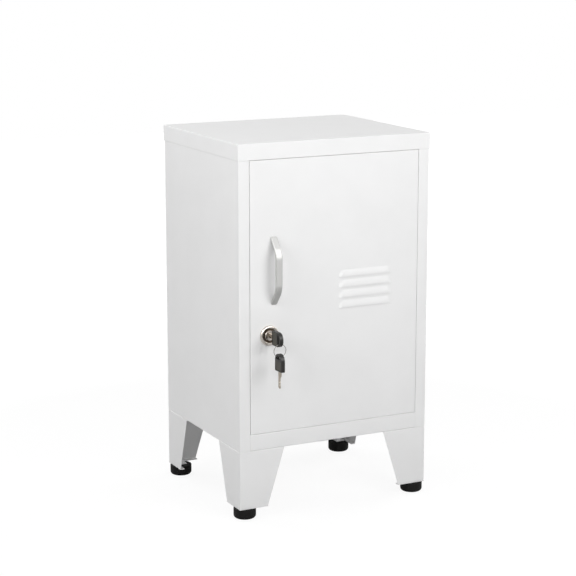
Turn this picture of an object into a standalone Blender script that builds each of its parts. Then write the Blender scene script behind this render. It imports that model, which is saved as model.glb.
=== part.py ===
# Metal locker cabinet on four tapered legs: one door with louvres, a bow handle and a key lock,
# a loose shelf inside, and four levelling feet. Folded steel sheet throughout.
# Metres, +Z up, front towards -Y, origin on the floor at the middle of the whole object.

import math

import bmesh
import bpy
from mathutils import Matrix, Vector

# Whole cabinet
WIDTH = 0.330  # lid, side to side
DEPTH = 0.280  # lid, front to back
HEIGHT = 0.582  # floor to lid top
SHEET = 0.0008  # folded steel
CLEAR = 0.0003  # between pieces that touch
OVERRUN = 0.001  # how far a cutter runs past what it cuts

# Lid and body
LID_RIM = 0.0254
LID_LEDGE = 0.016  # head of the door opening, behind the front plane
STILE_WIDTH = 0.018
STILE_RETURN = 0.014  # beside the door
STRIKE_WIDTH = 0.008  # flange that the door closes against, lock side
STRIKE_LEG = 0.012  # flange that is welded to the stile's return
STRIKE_FROM_END = 0.030
REAR_FLANGE = 0.015
END_FLANGE = 0.016  # top and bottom folds of the side panels
BACK_FLANGE = 0.012
RAIL_HEIGHT = 0.0255
RAIL_LIP = 0.014
FLOOR_FLANGE = 0.020
FLOOR_FLANGE_INSET = 0.030  # from the front and from the rear of the body

# Door
DOOR_GAP = 0.001
PAN_DEPTH = 0.018
PAN_LIP = 0.012
BUFFER_THICKNESS = 0.0019
BUFFER_RADIUS = 0.0034
BUFFER_STEM_RADIUS = 0.0016
BUFFER_STEM = 0.004
BUFFER_FROM_END = 0.060
STIFFENER_OFFSET = 0.040  # left of the door's middle
STIFFENER_FLANGE = 0.010
STIFFENER_CROWN = 0.020
STIFFENER_DEPTH = 0.010
STIFFENER_END_GAP = 0.016

# Hinge
HINGE_FROM_EDGE = 0.020
HINGE_DEPTH = 0.005
PIN_RADIUS = 0.0025
PIN_HEAD_RADIUS = 0.0038
PIN_HEAD = 0.0015
PIN_REACH = 0.004  # past the sheet that holds the bush
BUSH_WALL = 0.0007
BUSH_FLANGE_RADIUS = 0.0045
BUSH_REACH = 0.003

# Handle, on the door's left side
HANDLE_FROM_EDGE = 0.0394
HANDLE_ABOVE_DOOR_FOOT = 0.252
HANDLE_LENGTH = 0.109
HANDLE_SPACING = 0.096
HANDLE_PROUD = 0.020
HANDLE_WIDTH = 0.011
HANDLE_THICKNESS = 0.0052
HANDLE_FOOT = 0.010
HANDLE_GRIP = 0.059  # straight middle
HANDLE_BEND = 0.006
HANDLE_EDGE = 0.0016
HANDLE_SCREW_RADIUS = 0.002
HANDLE_SCREW_REACH = 0.0025  # less than the arm is thick there
HANDLE_SCREW_HEAD_RADIUS = 0.0042
HANDLE_SCREW_HEAD = 0.0024

# Louvres, on the door's right side
LOUVRE_COUNT = 4
LOUVRE_WIDTH = 0.094
LOUVRE_FROM_EDGE = 0.0459
LOUVRE_ABOVE_DOOR_FOOT = 0.183  # lowest lip
LOUVRE_PITCH = 0.0161
LOUVRE_HEIGHT = 0.0115
LOUVRE_PROUD = 0.004
LOUVRE_END = 0.008  # tapered length at each end

# Lock
LOCK_FROM_EDGE = 0.0314
LOCK_ABOVE_DOOR_FOOT = 0.1525
BEZEL_RADIUS = 0.0155
BEZEL_PROUD = 0.004
BEZEL_CHAMFER = 0.0014
RECESS_RADIUS = 0.0112
RECESS_DEPTH = 0.0022
BARREL_RADIUS = 0.0095
PLUG_RADIUS = 0.0065
PLUG_HEAD_RADIUS = 0.0082
PLUG_HEAD = 0.0013
SHANK_SIDE = 0.007
CAM_THICKNESS = 0.002
CAM_LENGTH = 0.031  # from the lock's axis to the tip
CAM_HUB_RADIUS = 0.009
CAM_TIP_WIDTH = 0.014
CAM_BEHIND_STRIKE = 0.0006
CAM_SCREW_RADIUS = 0.0017
CAM_SCREW_REACH = 0.0044
CAM_SCREW_HEAD_RADIUS = 0.005
CAM_SCREW_HEAD = 0.0024
NUT_THICKNESS = 0.0035
NUT_RADIUS = 0.0139  # over the corners

# Keys
BOW_STANDOFF = 0.0155  # from the door's face to the bow of the key in the lock
BOW_LENGTH = 0.027
BOW_WIDTH = 0.022
BOW_THICKNESS = 0.006
BOW_CORNER = 0.0015
RING_SLOT_LENGTH = 0.0154
RING_SLOT_WIDTH = 0.004
RING_SLOT_FROM_END = 0.006  # centre of the slot from the bow's round end
BLADE_LENGTH = 0.0265
BLADE_WIDTH = 0.007
BLADE_THICKNESS = 0.002
BLADE_TANG = 0.0075  # held inside the bow
BLADE_TIP = 0.0025
BIT_COUNT = 4
BIT_PITCH = 0.0036
BIT_DEPTH = 0.0012
BIT_WIDTH = 0.0014
KEYWAY_SPARE = 0.001  # keyway deeper than the blade reaches
RING_RADIUS = 0.010  # to the middle of the wire
RING_WIRE_RADIUS = 0.0007

# Legs and feet
LEG_HEIGHT = 0.092  # foot plate's underside to the body
LEG_TOP_WIDTH = 0.076
LEG_FOOT_WIDTH = 0.048
LEG_TOP_FLANGE = 0.014
PLATE_THICKNESS = 0.0015
PLATE_ARM = 0.007  # along both faces of the leg
PLATE_GUSSET = 0.0225  # square in the leg's corner, which carries the foot
WELD_NUT_RADIUS = 0.006
WELD_NUT_HEIGHT = 0.005
FOOT_HEIGHT = 0.017
FOOT_RADIUS = 0.0175
FOOT_INSET = 0.015  # foot axis from both outer faces
FOOT_ROUND = 0.005
STEM_RADIUS = 0.003
STEM_LENGTH = 0.030
STEM_SOCKET = 0.009
LEG_SCREW_INSET = 0.008
LEG_SCREW_SPREAD = 0.055  # from the body's corner
LEG_SCREW_RADIUS = 0.0024
LEG_SCREW_HEAD_RADIUS = 0.0045
LEG_SCREW_HEAD = 0.0024
LEG_SCREW_REACH = 0.006

# Shelf
SHELF_ABOVE_FLOOR = 0.210
SHELF_FLANGE = 0.015
SHELF_SETBACK = 0.003  # behind the lock
BRACKET_THICKNESS = 0.0012
BRACKET_LEDGE = 0.012
BRACKET_LEG = 0.014
BRACKET_WIDTH = 0.014
BRACKET_INSET = 0.046  # from the shelf's front and rear edges

# Facets
ROUND_STEPS = 24
SMALL_STEPS = 12
FILLET_STEPS = 3
RING_STEPS = 32
WIRE_STEPS = 8
HEX_STEPS = 6
SMOOTH_ANGLE = math.radians(35)
HANDLE_EDGE_STEPS = 2

# Colour, metallic and roughness of each finish
FINISHES = {
    "white_powder_coat": ((0.86, 0.86, 0.86, 1), 0.0, 0.45),
    "zinc_plated_steel": ((0.55, 0.55, 0.53, 1), 1.0, 0.35),
    "satin_nickel": ((0.60, 0.59, 0.57, 1), 1.0, 0.32),
    "polished_nickel": ((0.66, 0.60, 0.54, 1), 1.0, 0.20),
    "black_plastic": ((0.030, 0.029, 0.027, 1), 0.0, 0.45),
    "black_rubber": ((0.012, 0.012, 0.012, 1), 0.0, 0.70),
    "white_nylon": ((0.75, 0.75, 0.72, 1), 0.0, 0.50),
}

# Worked out from the sizes above
BODY_X = WIDTH / 2 - SHEET - CLEAR
BODY_DEPTH = DEPTH - 2 * (SHEET + CLEAR)
BODY_BOTTOM = FOOT_HEIGHT + LEG_HEIGHT
BODY_TOP = HEIGHT - SHEET - CLEAR
FLOOR_TOP = BODY_BOTTOM + RAIL_HEIGHT
LID_BOTTOM = HEIGHT - LID_RIM
STILE_X = BODY_X - STILE_WIDTH
DOOR_X = STILE_X - DOOR_GAP
DOOR_BOTTOM = FLOOR_TOP + DOOR_GAP
DOOR_TOP = LID_BOTTOM - DOOR_GAP
STRIKE_DEPTH = PAN_DEPTH + BUFFER_THICKNESS + 2 * CLEAR
STRIKE_X = STILE_X - STRIKE_WIDTH
STRIKE_LEG_X = STILE_X + SHEET + CLEAR
BACK_DEPTH = BODY_DEPTH - SHEET - CLEAR
HINGE_X = DOOR_X - HINGE_FROM_EDGE
HANDLE_X = HANDLE_FROM_EDGE - DOOR_X
HANDLE_Z = DOOR_BOTTOM + HANDLE_ABOVE_DOOR_FOOT
LOCK_X = LOCK_FROM_EDGE - DOOR_X
LOCK_Z = DOOR_BOTTOM + LOCK_ABOVE_DOOR_FOOT
CAM_DEPTH = STRIKE_DEPTH + SHEET + CAM_BEHIND_STRIKE
PLUG_END = CAM_DEPTH - CLEAR
BARREL_END = PLUG_END - CLEAR
SHANK_END = CAM_DEPTH + CAM_THICKNESS - CLEAR
LOCK_END = CAM_DEPTH + CAM_THICKNESS + CLEAR + CAM_SCREW_HEAD
RING_PROUD = BOW_STANDOFF + BOW_LENGTH - RING_SLOT_FROM_END
RING_SAG = RING_RADIUS - math.sqrt(RING_RADIUS**2 - (BOW_THICKNESS / 2) ** 2)
RING_SEAT = RING_WIRE_RADIUS + RING_SAG + CLEAR
RING_TOP = LOCK_Z - RING_SLOT_LENGTH / 2 + RING_SEAT
RING_CENTRE = RING_TOP - RING_RADIUS
SPARE_SLOT = RING_CENTRE - RING_RADIUS - RING_SLOT_WIDTH / 2 + RING_SEAT
SPARE_BOW_END = SPARE_SLOT - BOW_LENGTH + RING_SLOT_FROM_END
FRONT_REACH = max(RING_PROUD + BOW_WIDTH / 2, BOW_STANDOFF + BOW_LENGTH, HANDLE_PROUD)
BACK_REACH = max(FOOT_RADIUS - FOOT_INSET, SHEET + CLEAR)
FRONT = (FRONT_REACH - BODY_DEPTH - BACK_REACH) / 2  # y of the door's face
SHELF_TOP = FLOOR_TOP + SHELF_ABOVE_FLOOR
SHELF_FOOT = SHELF_TOP - SHELF_FLANGE
SHELF_FRONT = LOCK_END + SHELF_SETBACK
SHELF_X = BODY_X - 2 * (SHEET + CLEAR)
LEG_FLANGE_TOP = BODY_BOTTOM - CLEAR
CORNERS = {
    "front_left": (-1, -1),
    "front_right": (1, -1),
    "rear_left": (-1, 1),
    "rear_right": (1, 1),
}


def clear_scene():
    for obj in list(bpy.data.objects):
        bpy.data.objects.remove(obj, do_unlink=True)


def make_finish(name, colour, metallic, roughness):
    material = bpy.data.materials.new(name)
    material.use_nodes = True
    material.diffuse_color = colour
    shader = material.node_tree.nodes["Principled BSDF"]
    shader.inputs["Base Color"].default_value = colour
    shader.inputs["Metallic"].default_value = metallic
    shader.inputs["Roughness"].default_value = roughness
    return material


def finish(obj, name):
    obj.data.materials.clear()
    obj.data.materials.append(bpy.data.materials[name])
    obj.data.shade_smooth()
    obj.data.set_sharp_from_angle(angle=SMOOTH_ANGLE)
    return obj


def depth(distance):
    # y of a point this far behind the door's face, or in front of it if negative
    return FRONT + distance


# Solids


def as_object(name, bm):
    bmesh.ops.recalc_face_normals(bm, faces=bm.faces)
    mesh = bpy.data.meshes.new(name)
    bm.to_mesh(mesh)
    bm.free()
    obj = bpy.data.objects.new(name, mesh)
    bpy.context.scene.collection.objects.link(obj)
    return obj


def prism(name, outline, axis, low, high):
    # The outline lies in the two other axes, in X, Y, Z order.
    place = {
        "X": lambda a, b, along: (along, a, b),
        "Y": lambda a, b, along: (a, along, b),
        "Z": lambda a, b, along: (a, b, along),
    }[axis]
    bm = bmesh.new()
    lower = [bm.verts.new(place(a, b, low)) for a, b in outline]
    upper = [bm.verts.new(place(a, b, high)) for a, b in outline]
    bm.faces.new(lower)
    bm.faces.new(list(reversed(upper)))
    for index in range(len(outline)):
        bm.faces.new((lower[index], lower[index - 1], upper[index - 1], upper[index]))
    return as_object(name, bm)


def box(name, low, high):
    outline = [(low[0], low[1]), (high[0], low[1]), (high[0], high[1]), (low[0], high[1])]
    return prism(name, outline, "Z", low[2], high[2])


def circle(centre, radius, steps):
    turns = [2 * math.pi * (index + 0.5) / steps for index in range(steps)]
    return [(centre[0] + radius * math.cos(t), centre[1] + radius * math.sin(t)) for t in turns]


def turned(name, profile, steps):
    # A closed profile of (radius, height) points, spun round Z. Points on the axis are merged.
    bm = bmesh.new()
    verts = [bm.verts.new((radius, 0, height)) for radius, height in profile]
    edges = [bm.edges.new((verts[index - 1], verts[index])) for index in range(len(verts))]
    bmesh.ops.spin(
        bm, geom=verts + edges, cent=(0, 0, 0), axis=(0, 0, 1), angle=2 * math.pi, steps=steps
    )
    bmesh.ops.remove_doubles(bm, verts=bm.verts, dist=CLEAR / ROUND_STEPS)
    return as_object(name, bm)


def turned_forward(name, profile, x, z, steps):
    # The same, with its height as the distance in front of the door's face.
    obj = turned(name, profile, steps)
    forward = Matrix.Rotation(math.pi / 2, 4, "X")
    obj.data.transform(Matrix.Translation((x, depth(0), z)) @ forward)
    return obj


def folded(outline, sheet):
    # A bent strip of sheet as a closed outline: the bends' outer faces, then the inner faces,
    # which lie to the right of the way that the points run.
    inner = []
    for index, point in enumerate(outline):
        here = Vector(point)
        sides = []
        if index > 0:
            sides.append((here - Vector(outline[index - 1])).normalized())
        if index < len(outline) - 1:
            sides.append((Vector(outline[index + 1]) - here).normalized())
        normals = [Vector((side.y, -side.x)) for side in sides]
        mitre = sum(normals, Vector((0, 0))).normalized()
        inner.append(tuple(here + mitre * (sheet / mitre.dot(normals[0]))))
    return list(outline) + inner[::-1]


def rounded(outline, radii, steps):
    # Each corner of a closed outline becomes an arc of its own radius.
    points = []
    for index, corner in enumerate(outline):
        here = Vector(corner)
        back = (Vector(outline[index - 1]) - here).normalized()
        ahead = (Vector(outline[(index + 1) % len(outline)]) - here).normalized()
        radius = radii[index]
        if radius == 0:
            points.append(tuple(here))
            continue
        half = back.angle(ahead) / 2
        middle = here + (back + ahead).normalized() * (radius / math.sin(half))
        start = here + back * (radius / math.tan(half)) - middle
        end = here + ahead * (radius / math.tan(half)) - middle
        sweep = start.angle_signed(end)
        for step in range(steps + 1):
            turn = -sweep * step / steps
            spoke = Matrix.Rotation(turn, 2) @ start
            points.append(tuple(middle + spoke))
    return points


def combine(target, tool, operation):
    modifier = target.modifiers.new(operation, "BOOLEAN")
    modifier.operation = operation
    modifier.solver = "EXACT"
    modifier.object = tool
    bpy.context.view_layer.objects.active = target
    bpy.ops.object.modifier_apply(modifier=modifier.name)
    bpy.data.objects.remove(tool, do_unlink=True)


def join(target, *tools):
    for tool in tools:
        combine(target, tool, "UNION")
    return target


def cut(target, *tools):
    for tool in tools:
        combine(target, tool, "DIFFERENCE")
    return target


def hole_up(x, y, radius, low, high, steps):
    return prism("hole", circle((x, y), radius, steps), "Z", low, high)


def hole_through_skin(x, z, radius, steps):
    outline = circle((x, z), radius, steps)
    return prism("hole", outline, "Y", depth(-OVERRUN), depth(SHEET + OVERRUN))


def copied(name, source, matrix):
    # A separate copy of a mesh, turned the right way out if the matrix mirrors it.
    mesh = source.data.copy()
    mesh.transform(matrix)
    if matrix.determinant() < 0:
        mesh.flip_normals()
    obj = bpy.data.objects.new(name, mesh)
    bpy.context.scene.collection.objects.link(obj)
    return obj


def placed(name, source, location):
    # Another object on the same mesh.
    obj = bpy.data.objects.new(name, source.data)
    obj.location = location
    bpy.context.scene.collection.objects.link(obj)
    return obj


# Body


def lid_ledge():
    return box(
        "ledge",
        (CLEAR - STILE_X, depth(-CLEAR - SHEET / 2), LID_BOTTOM),
        (STILE_X - CLEAR, depth(LID_LEDGE), LID_BOTTOM + SHEET),
    )


def make_top_cap():
    # A tray turned over, with a ledge behind its front rim as the head of the door opening
    front = depth(-SHEET - CLEAR)
    rear = front + DEPTH
    lid = box("top_cap", (-WIDTH / 2, front, LID_BOTTOM), (WIDTH / 2, rear, HEIGHT))
    inside = box(
        "inside",
        (SHEET - WIDTH / 2, front + SHEET, LID_BOTTOM - OVERRUN),
        (WIDTH / 2 - SHEET, rear - SHEET, HEIGHT - SHEET),
    )
    cut(lid, inside)
    join(lid, lid_ledge())
    cut(lid, bush_hole(LID_BOTTOM))
    return finish(lid, "white_powder_coat")


def bush_hole(low):
    radius = PIN_RADIUS + BUSH_WALL + 2 * CLEAR
    return hole_up(
        HINGE_X, depth(HINGE_DEPTH), radius, low - OVERRUN, low + SHEET + OVERRUN, SMALL_STEPS
    )


def side_outline(side):
    # Plan of a side panel: return beside the door, stile, side wall, rear flange
    bends = [
        (-STILE_X, depth(STILE_RETURN)),
        (-STILE_X, depth(0)),
        (-BODY_X, depth(0)),
        (-BODY_X, depth(BODY_DEPTH)),
        (REAR_FLANGE - BODY_X, depth(BODY_DEPTH)),
    ]
    return [(-side * x, y) for x, y in folded(bends, SHEET)]


def end_flange(side, low):
    near = sorted((side * (BODY_X - SHEET / 2), side * (BODY_X - END_FLANGE)))
    return box(
        "end_flange",
        (near[0], depth(SHEET / 2), low),
        (near[1], depth(BODY_DEPTH - SHEET / 2), low + SHEET),
    )


def screw_places(corner):
    # The two screws of a leg: one under the front or rear, one under the side
    x_side, y_side = corner
    edge = {-1: depth(0), 1: depth(BODY_DEPTH)}[y_side]
    return [
        (x_side * (BODY_X - LEG_SCREW_SPREAD), edge - y_side * LEG_SCREW_INSET),
        (x_side * (BODY_X - LEG_SCREW_INSET), edge - y_side * LEG_SCREW_SPREAD),
    ]


def screw_hole(place):
    radius = LEG_SCREW_RADIUS + CLEAR
    low = LEG_FLANGE_TOP - SHEET - OVERRUN
    return hole_up(*place, radius, low, BODY_BOTTOM + SHEET + OVERRUN, SMALL_STEPS)


def make_side_panel(name, side):
    panel = prism(name, side_outline(side), "Z", BODY_BOTTOM, BODY_TOP)
    join(panel, end_flange(side, BODY_BOTTOM), end_flange(side, BODY_TOP - SHEET))
    for y_side in (-1, 1):
        cut(panel, screw_hole(screw_places((side, y_side))[1]))
    return finish(panel, "white_powder_coat")


def make_strike_plate():
    # Angle welded behind the lock side's stile: the door closes against it and the cam turns in
    # behind it
    bends = [
        (-STRIKE_X, depth(STRIKE_DEPTH)),
        (-STRIKE_LEG_X, depth(STRIKE_DEPTH)),
        (-STRIKE_LEG_X, depth(STRIKE_DEPTH + SHEET - STRIKE_LEG)),
    ]
    low, top = DOOR_BOTTOM + STRIKE_FROM_END, DOOR_TOP - STRIKE_FROM_END
    strike = prism("strike_plate", folded(bends, SHEET), "Z", low, top)
    for z in buffer_heights():
        outline = circle((buffer_x(), z), BUFFER_STEM_RADIUS + CLEAR, SMALL_STEPS)
        back = STRIKE_DEPTH + SHEET + OVERRUN
        cut(strike, prism("hole", outline, "Y", depth(STRIKE_DEPTH - OVERRUN), depth(back)))
    return finish(strike, "white_powder_coat")


def make_back_panel():
    half = BODY_X - SHEET - CLEAR
    gap = BODY_X - END_FLANGE - CLEAR
    bends = [
        (-half, depth(BACK_DEPTH - BACK_FLANGE)),
        (-half, depth(BACK_DEPTH)),
        (half, depth(BACK_DEPTH)),
        (half, depth(BACK_DEPTH - BACK_FLANGE)),
    ]
    low = BODY_BOTTOM + SHEET + CLEAR
    top = BODY_TOP - SHEET - CLEAR
    panel = prism("back_panel", folded(bends, SHEET), "Z", low, top)
    skirt = box(
        "skirt",
        (-gap, depth(BACK_DEPTH - SHEET), BODY_BOTTOM),
        (gap, depth(BACK_DEPTH), low + OVERRUN),
    )
    lip = box(
        "lip",
        (-gap, depth(BACK_DEPTH - RAIL_LIP), BODY_BOTTOM),
        (gap, depth(BACK_DEPTH - SHEET / 2), BODY_BOTTOM + SHEET),
    )
    join(panel, skirt, lip)
    for x_side in (-1, 1):
        cut(panel, screw_hole(screw_places((x_side, 1))[0]))
    return finish(panel, "white_powder_coat")


def floor_plan():
    # Narrow between the stiles, then out to the walls, stepping in past the back panel's side
    # flanges
    rail = STILE_X - CLEAR
    wide = BODY_X - SHEET - CLEAR
    behind_return = STILE_RETURN + CLEAR
    flanges = BACK_DEPTH - BACK_FLANGE - CLEAR
    rear = BACK_DEPTH - SHEET - CLEAR
    points = [
        (-rail, 0),
        (rail, 0),
        (rail, behind_return),
        (wide, behind_return),
        (wide, flanges),
        (wide - SHEET - CLEAR, flanges),
        (wide - SHEET - CLEAR, rear),
        (SHEET + CLEAR - wide, rear),
        (SHEET + CLEAR - wide, flanges),
        (-wide, flanges),
        (-wide, behind_return),
        (-rail, behind_return),
    ]
    return [(x, depth(distance)) for x, distance in points]


def make_floor_panel():
    # The cabinet's floor with the front rail folded down from it
    rail = STILE_X - CLEAR
    wide = BODY_X - SHEET - CLEAR
    low = FLOOR_TOP - FLOOR_FLANGE
    floor = prism("floor_panel", floor_plan(), "Z", FLOOR_TOP - SHEET, FLOOR_TOP)
    face = box(
        "face",
        (-rail, depth(0), BODY_BOTTOM),
        (rail, depth(SHEET), FLOOR_TOP - SHEET / 2),
    )
    lip = box(
        "lip",
        (-rail, depth(SHEET / 2), BODY_BOTTOM),
        (rail, depth(RAIL_LIP), BODY_BOTTOM + SHEET),
    )
    join(floor, face, lip)
    ends = (depth(FLOOR_FLANGE_INSET), depth(BODY_DEPTH - FLOOR_FLANGE_INSET))
    for side in (-1, 1):
        near = sorted((side * wide, side * (wide - SHEET)))
        top = FLOOR_TOP - SHEET / 2
        join(floor, box("flange", (near[0], ends[0], low), (near[1], ends[1], top)))
    rear = BACK_DEPTH - SHEET - CLEAR
    half = wide - FLOOR_FLANGE_INSET
    join(
        floor,
        box("flange", (-half, depth(rear - SHEET), low), (half, depth(rear), FLOOR_TOP - SHEET / 2)),
    )
    cut(floor, bush_hole(FLOOR_TOP - SHEET))
    for x_side in (-1, 1):
        cut(floor, screw_hole(screw_places((x_side, -1))[0]))
    return finish(floor, "white_powder_coat")


# Legs and feet, modelled at the rear right corner of an imaginary body that fills x < 0 and
# y < 0, then mirrored to each corner


def corner_matrix(corner):
    x_side, y_side = corner
    edge = {-1: depth(0), 1: depth(BODY_DEPTH)}[y_side]
    mirror = Matrix.Diagonal((x_side, y_side, 1, 1))
    return Matrix.Translation((x_side * BODY_X, edge, 0)) @ mirror


def leg_solid():
    low = FOOT_HEIGHT + PLATE_THICKNESS + CLEAR
    top = LEG_FLANGE_TOP
    face = [(0, low), (-LEG_FOOT_WIDTH, low), (-LEG_TOP_WIDTH, top), (0, top)]
    flange = [
        (0, 0),
        (-LEG_TOP_WIDTH, 0),
        (-LEG_TOP_WIDTH, -LEG_TOP_FLANGE),
        (-LEG_TOP_FLANGE, -LEG_TOP_FLANGE),
        (-LEG_TOP_FLANGE, -LEG_TOP_WIDTH),
        (0, -LEG_TOP_WIDTH),
    ]
    leg = prism("leg", face, "Y", -SHEET, 0)
    join(
        leg,
        prism("side", face, "X", -SHEET, 0),
        prism("flange", flange, "Z", top - SHEET, top),
    )
    places = [(-LEG_SCREW_SPREAD, -LEG_SCREW_INSET), (-LEG_SCREW_INSET, -LEG_SCREW_SPREAD)]
    return cut(leg, *[screw_hole(place) for place in places])


def plate_solid():
    # Foot plate with the weld nut on top of it
    low = FOOT_HEIGHT
    top = low + PLATE_THICKNESS
    outline = [
        (0, 0),
        (-LEG_FOOT_WIDTH, 0),
        (-LEG_FOOT_WIDTH, -PLATE_ARM),
        (-PLATE_GUSSET, -PLATE_ARM),
        (-PLATE_GUSSET, -PLATE_GUSSET),
        (-PLATE_ARM, -PLATE_GUSSET),
        (-PLATE_ARM, -LEG_FOOT_WIDTH),
        (0, -LEG_FOOT_WIDTH),
    ]
    axis = (-FOOT_INSET, -FOOT_INSET)
    nut_top = top + WELD_NUT_HEIGHT
    plate = prism("plate", outline, "Z", low, top)
    nut = circle(axis, WELD_NUT_RADIUS, HEX_STEPS)
    join(plate, prism("nut", nut, "Z", top - PLATE_THICKNESS / 2, nut_top))
    radius = STEM_RADIUS + CLEAR
    return cut(plate, hole_up(*axis, radius, low - OVERRUN, nut_top + OVERRUN, ROUND_STEPS))


def make_legs():
    leg = finish(leg_solid(), "white_powder_coat")
    plate = finish(plate_solid(), "white_powder_coat")
    for where, corner in CORNERS.items():
        copied("leg_" + where, leg, corner_matrix(corner))
        copied("foot_plate_" + where, plate, corner_matrix(corner))
    for source in (leg, plate):
        bpy.data.objects.remove(source, do_unlink=True)


def make_leg_screws():
    head_top = LEG_FLANGE_TOP - SHEET - CLEAR
    profile = [
        (0, head_top - LEG_SCREW_HEAD),
        (LEG_SCREW_HEAD_RADIUS, head_top - LEG_SCREW_HEAD),
        (LEG_SCREW_HEAD_RADIUS, head_top),
        (LEG_SCREW_RADIUS, head_top),
        (LEG_SCREW_RADIUS, head_top + LEG_SCREW_REACH),
        (0, head_top + LEG_SCREW_REACH),
    ]
    screw = finish(turned("screw", profile, SMALL_STEPS), "zinc_plated_steel")
    for where, corner in CORNERS.items():
        for number, place in enumerate(screw_places(corner), 1):
            placed(f"leg_screw_{where}_{number}", screw, (*place, 0))
    bpy.data.objects.remove(screw, do_unlink=True)


def foot_knob():
    top = FOOT_HEIGHT - CLEAR
    turns = [math.pi / 2 * step / FILLET_STEPS for step in range(FILLET_STEPS + 1)]
    ring = FOOT_RADIUS - FOOT_ROUND
    rounding = [
        (ring + FOOT_ROUND * math.sin(t), FOOT_ROUND * (1 - math.cos(t))) for t in turns
    ]
    socket = STEM_RADIUS + CLEAR
    profile = (
        [(0, 0)]
        + rounding
        + [(FOOT_RADIUS, top), (socket, top), (socket, top - STEM_SOCKET), (0, top - STEM_SOCKET)]
    )
    return finish(turned("knob", profile, ROUND_STEPS), "black_plastic")


def foot_stem():
    low = FOOT_HEIGHT - STEM_SOCKET
    profile = [(0, low), (STEM_RADIUS, low), (STEM_RADIUS, low + STEM_LENGTH), (0, low + STEM_LENGTH)]
    return finish(turned("stem", profile, ROUND_STEPS), "zinc_plated_steel")


def foot_place(corner):
    x_side, y_side = corner
    edge = {-1: depth(0), 1: depth(BODY_DEPTH)}[y_side]
    return (x_side * (BODY_X - FOOT_INSET), edge - y_side * FOOT_INSET, 0)


def make_feet():
    knob, stem = foot_knob(), foot_stem()
    for where, corner in CORNERS.items():
        place = foot_place(corner)
        pieces = [
            placed("foot_knob_" + where, knob, place),
            placed("foot_stem_" + where, stem, place),
        ]
        carry("foot_axis_" + where, place, pieces)
    for source in (knob, stem):
        bpy.data.objects.remove(source, do_unlink=True)


def carry(name, place, pieces, parent=None):
    # An empty on a joint's axis, which carries the pieces that move with it
    axis = bpy.data.objects.new(name, None)
    bpy.context.scene.collection.objects.link(axis)
    axis.location = place
    if parent is not None:
        bpy.context.view_layer.update()
        axis.parent = parent
        axis.matrix_parent_inverse = parent.matrix_world.inverted()
    bpy.context.view_layer.update()
    for piece in pieces:
        piece.parent = axis
        piece.matrix_parent_inverse = axis.matrix_world.inverted()
    return axis


# Shelf


def make_shelf():
    rear = BACK_DEPTH - SHEET - CLEAR
    shelf = box(
        "shelf", (-SHELF_X, depth(SHELF_FRONT), SHELF_FOOT), (SHELF_X, depth(rear), SHELF_TOP)
    )
    inside = box(
        "inside",
        (SHEET - SHELF_X, depth(SHELF_FRONT + SHEET), SHELF_FOOT - OVERRUN),
        (SHELF_X - SHEET, depth(rear - SHEET), SHELF_TOP - SHEET),
    )
    cut(shelf, inside)
    carry("shelf_axis", (0, 0, SHELF_TOP), [finish(shelf, "white_powder_coat")])


def make_shelf_brackets():
    wall = BODY_X - SHEET - CLEAR
    top = SHELF_FOOT - CLEAR
    bends = [(-wall, top - BRACKET_LEG), (-wall, top), (BRACKET_LEDGE - wall, top)]
    rear = BACK_DEPTH - BRACKET_INSET - BRACKET_WIDTH
    starts = {-1: SHELF_FRONT + BRACKET_INSET, 1: rear}
    for where, (x_side, y_side) in CORNERS.items():
        outline = [(-x_side * x, z) for x, z in folded(bends, BRACKET_THICKNESS)]
        low = depth(starts[y_side])
        bracket = prism("shelf_bracket_" + where, outline, "Y", low, low + BRACKET_WIDTH)
        finish(bracket, "white_powder_coat")


# Door


def louvre_hoods(name, wall, behind):
    # The hoods as solids, smaller by the wall, from their fronts to a plane behind the skin
    bm = bmesh.new()
    left = DOOR_X - LOUVRE_FROM_EDGE - LOUVRE_WIDTH + wall
    right = DOOR_X - LOUVRE_FROM_EDGE - wall
    shares = [(0, 1), (0.55, 0.72), (0.88, 0.38), (1, 0)]
    low = OVERRUN if wall else 0
    for number in range(LOUVRE_COUNT):
        lip = DOOR_BOTTOM + LOUVRE_ABOVE_DOOR_FOOT + number * LOUVRE_PITCH
        points = [
            (x, depth(distance), z)
            for x in (left, right)
            for distance in (behind, 0)
            for z in (lip - low, lip + LOUVRE_HEIGHT - wall)
        ]
        for proud_share, rise_share in shares:
            inset = proud_share * LOUVRE_END
            front = depth(-proud_share * (LOUVRE_PROUD - wall))
            rise = rise_share * (LOUVRE_HEIGHT - wall)
            for x in (left + inset, right - inset):
                points += [(x, front, lip - low), (x, front, lip + rise)]
        verts = [bm.verts.new(point) for point in points]
        hull = bmesh.ops.convex_hull(bm, input=verts)
        loose = [v for v in hull["geom_interior"] if isinstance(v, bmesh.types.BMVert)]
        bmesh.ops.delete(bm, geom=loose, context="VERTS")
    bmesh.ops.remove_doubles(bm, verts=bm.verts, dist=CLEAR / ROUND_STEPS)
    return as_object(name, bm)


def door_pan():
    pan = box("door_panel", (-DOOR_X, depth(0), DOOR_BOTTOM), (DOOR_X, depth(PAN_DEPTH), DOOR_TOP))
    inside = box(
        "inside",
        (SHEET - DOOR_X, depth(SHEET), DOOR_BOTTOM + SHEET),
        (DOOR_X - SHEET, depth(PAN_DEPTH - SHEET), DOOR_TOP - SHEET),
    )
    mouth = box(
        "mouth",
        (PAN_LIP - DOOR_X, depth(PAN_DEPTH - SHEET - OVERRUN), DOOR_BOTTOM + PAN_LIP),
        (DOOR_X - PAN_LIP, depth(PAN_DEPTH + OVERRUN), DOOR_TOP - PAN_LIP),
    )
    return cut(pan, join(inside, mouth))


def pin_hole(low):
    return hole_up(
        HINGE_X,
        depth(HINGE_DEPTH),
        PIN_RADIUS + CLEAR,
        low - OVERRUN,
        low + SHEET + OVERRUN,
        SMALL_STEPS,
    )


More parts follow.
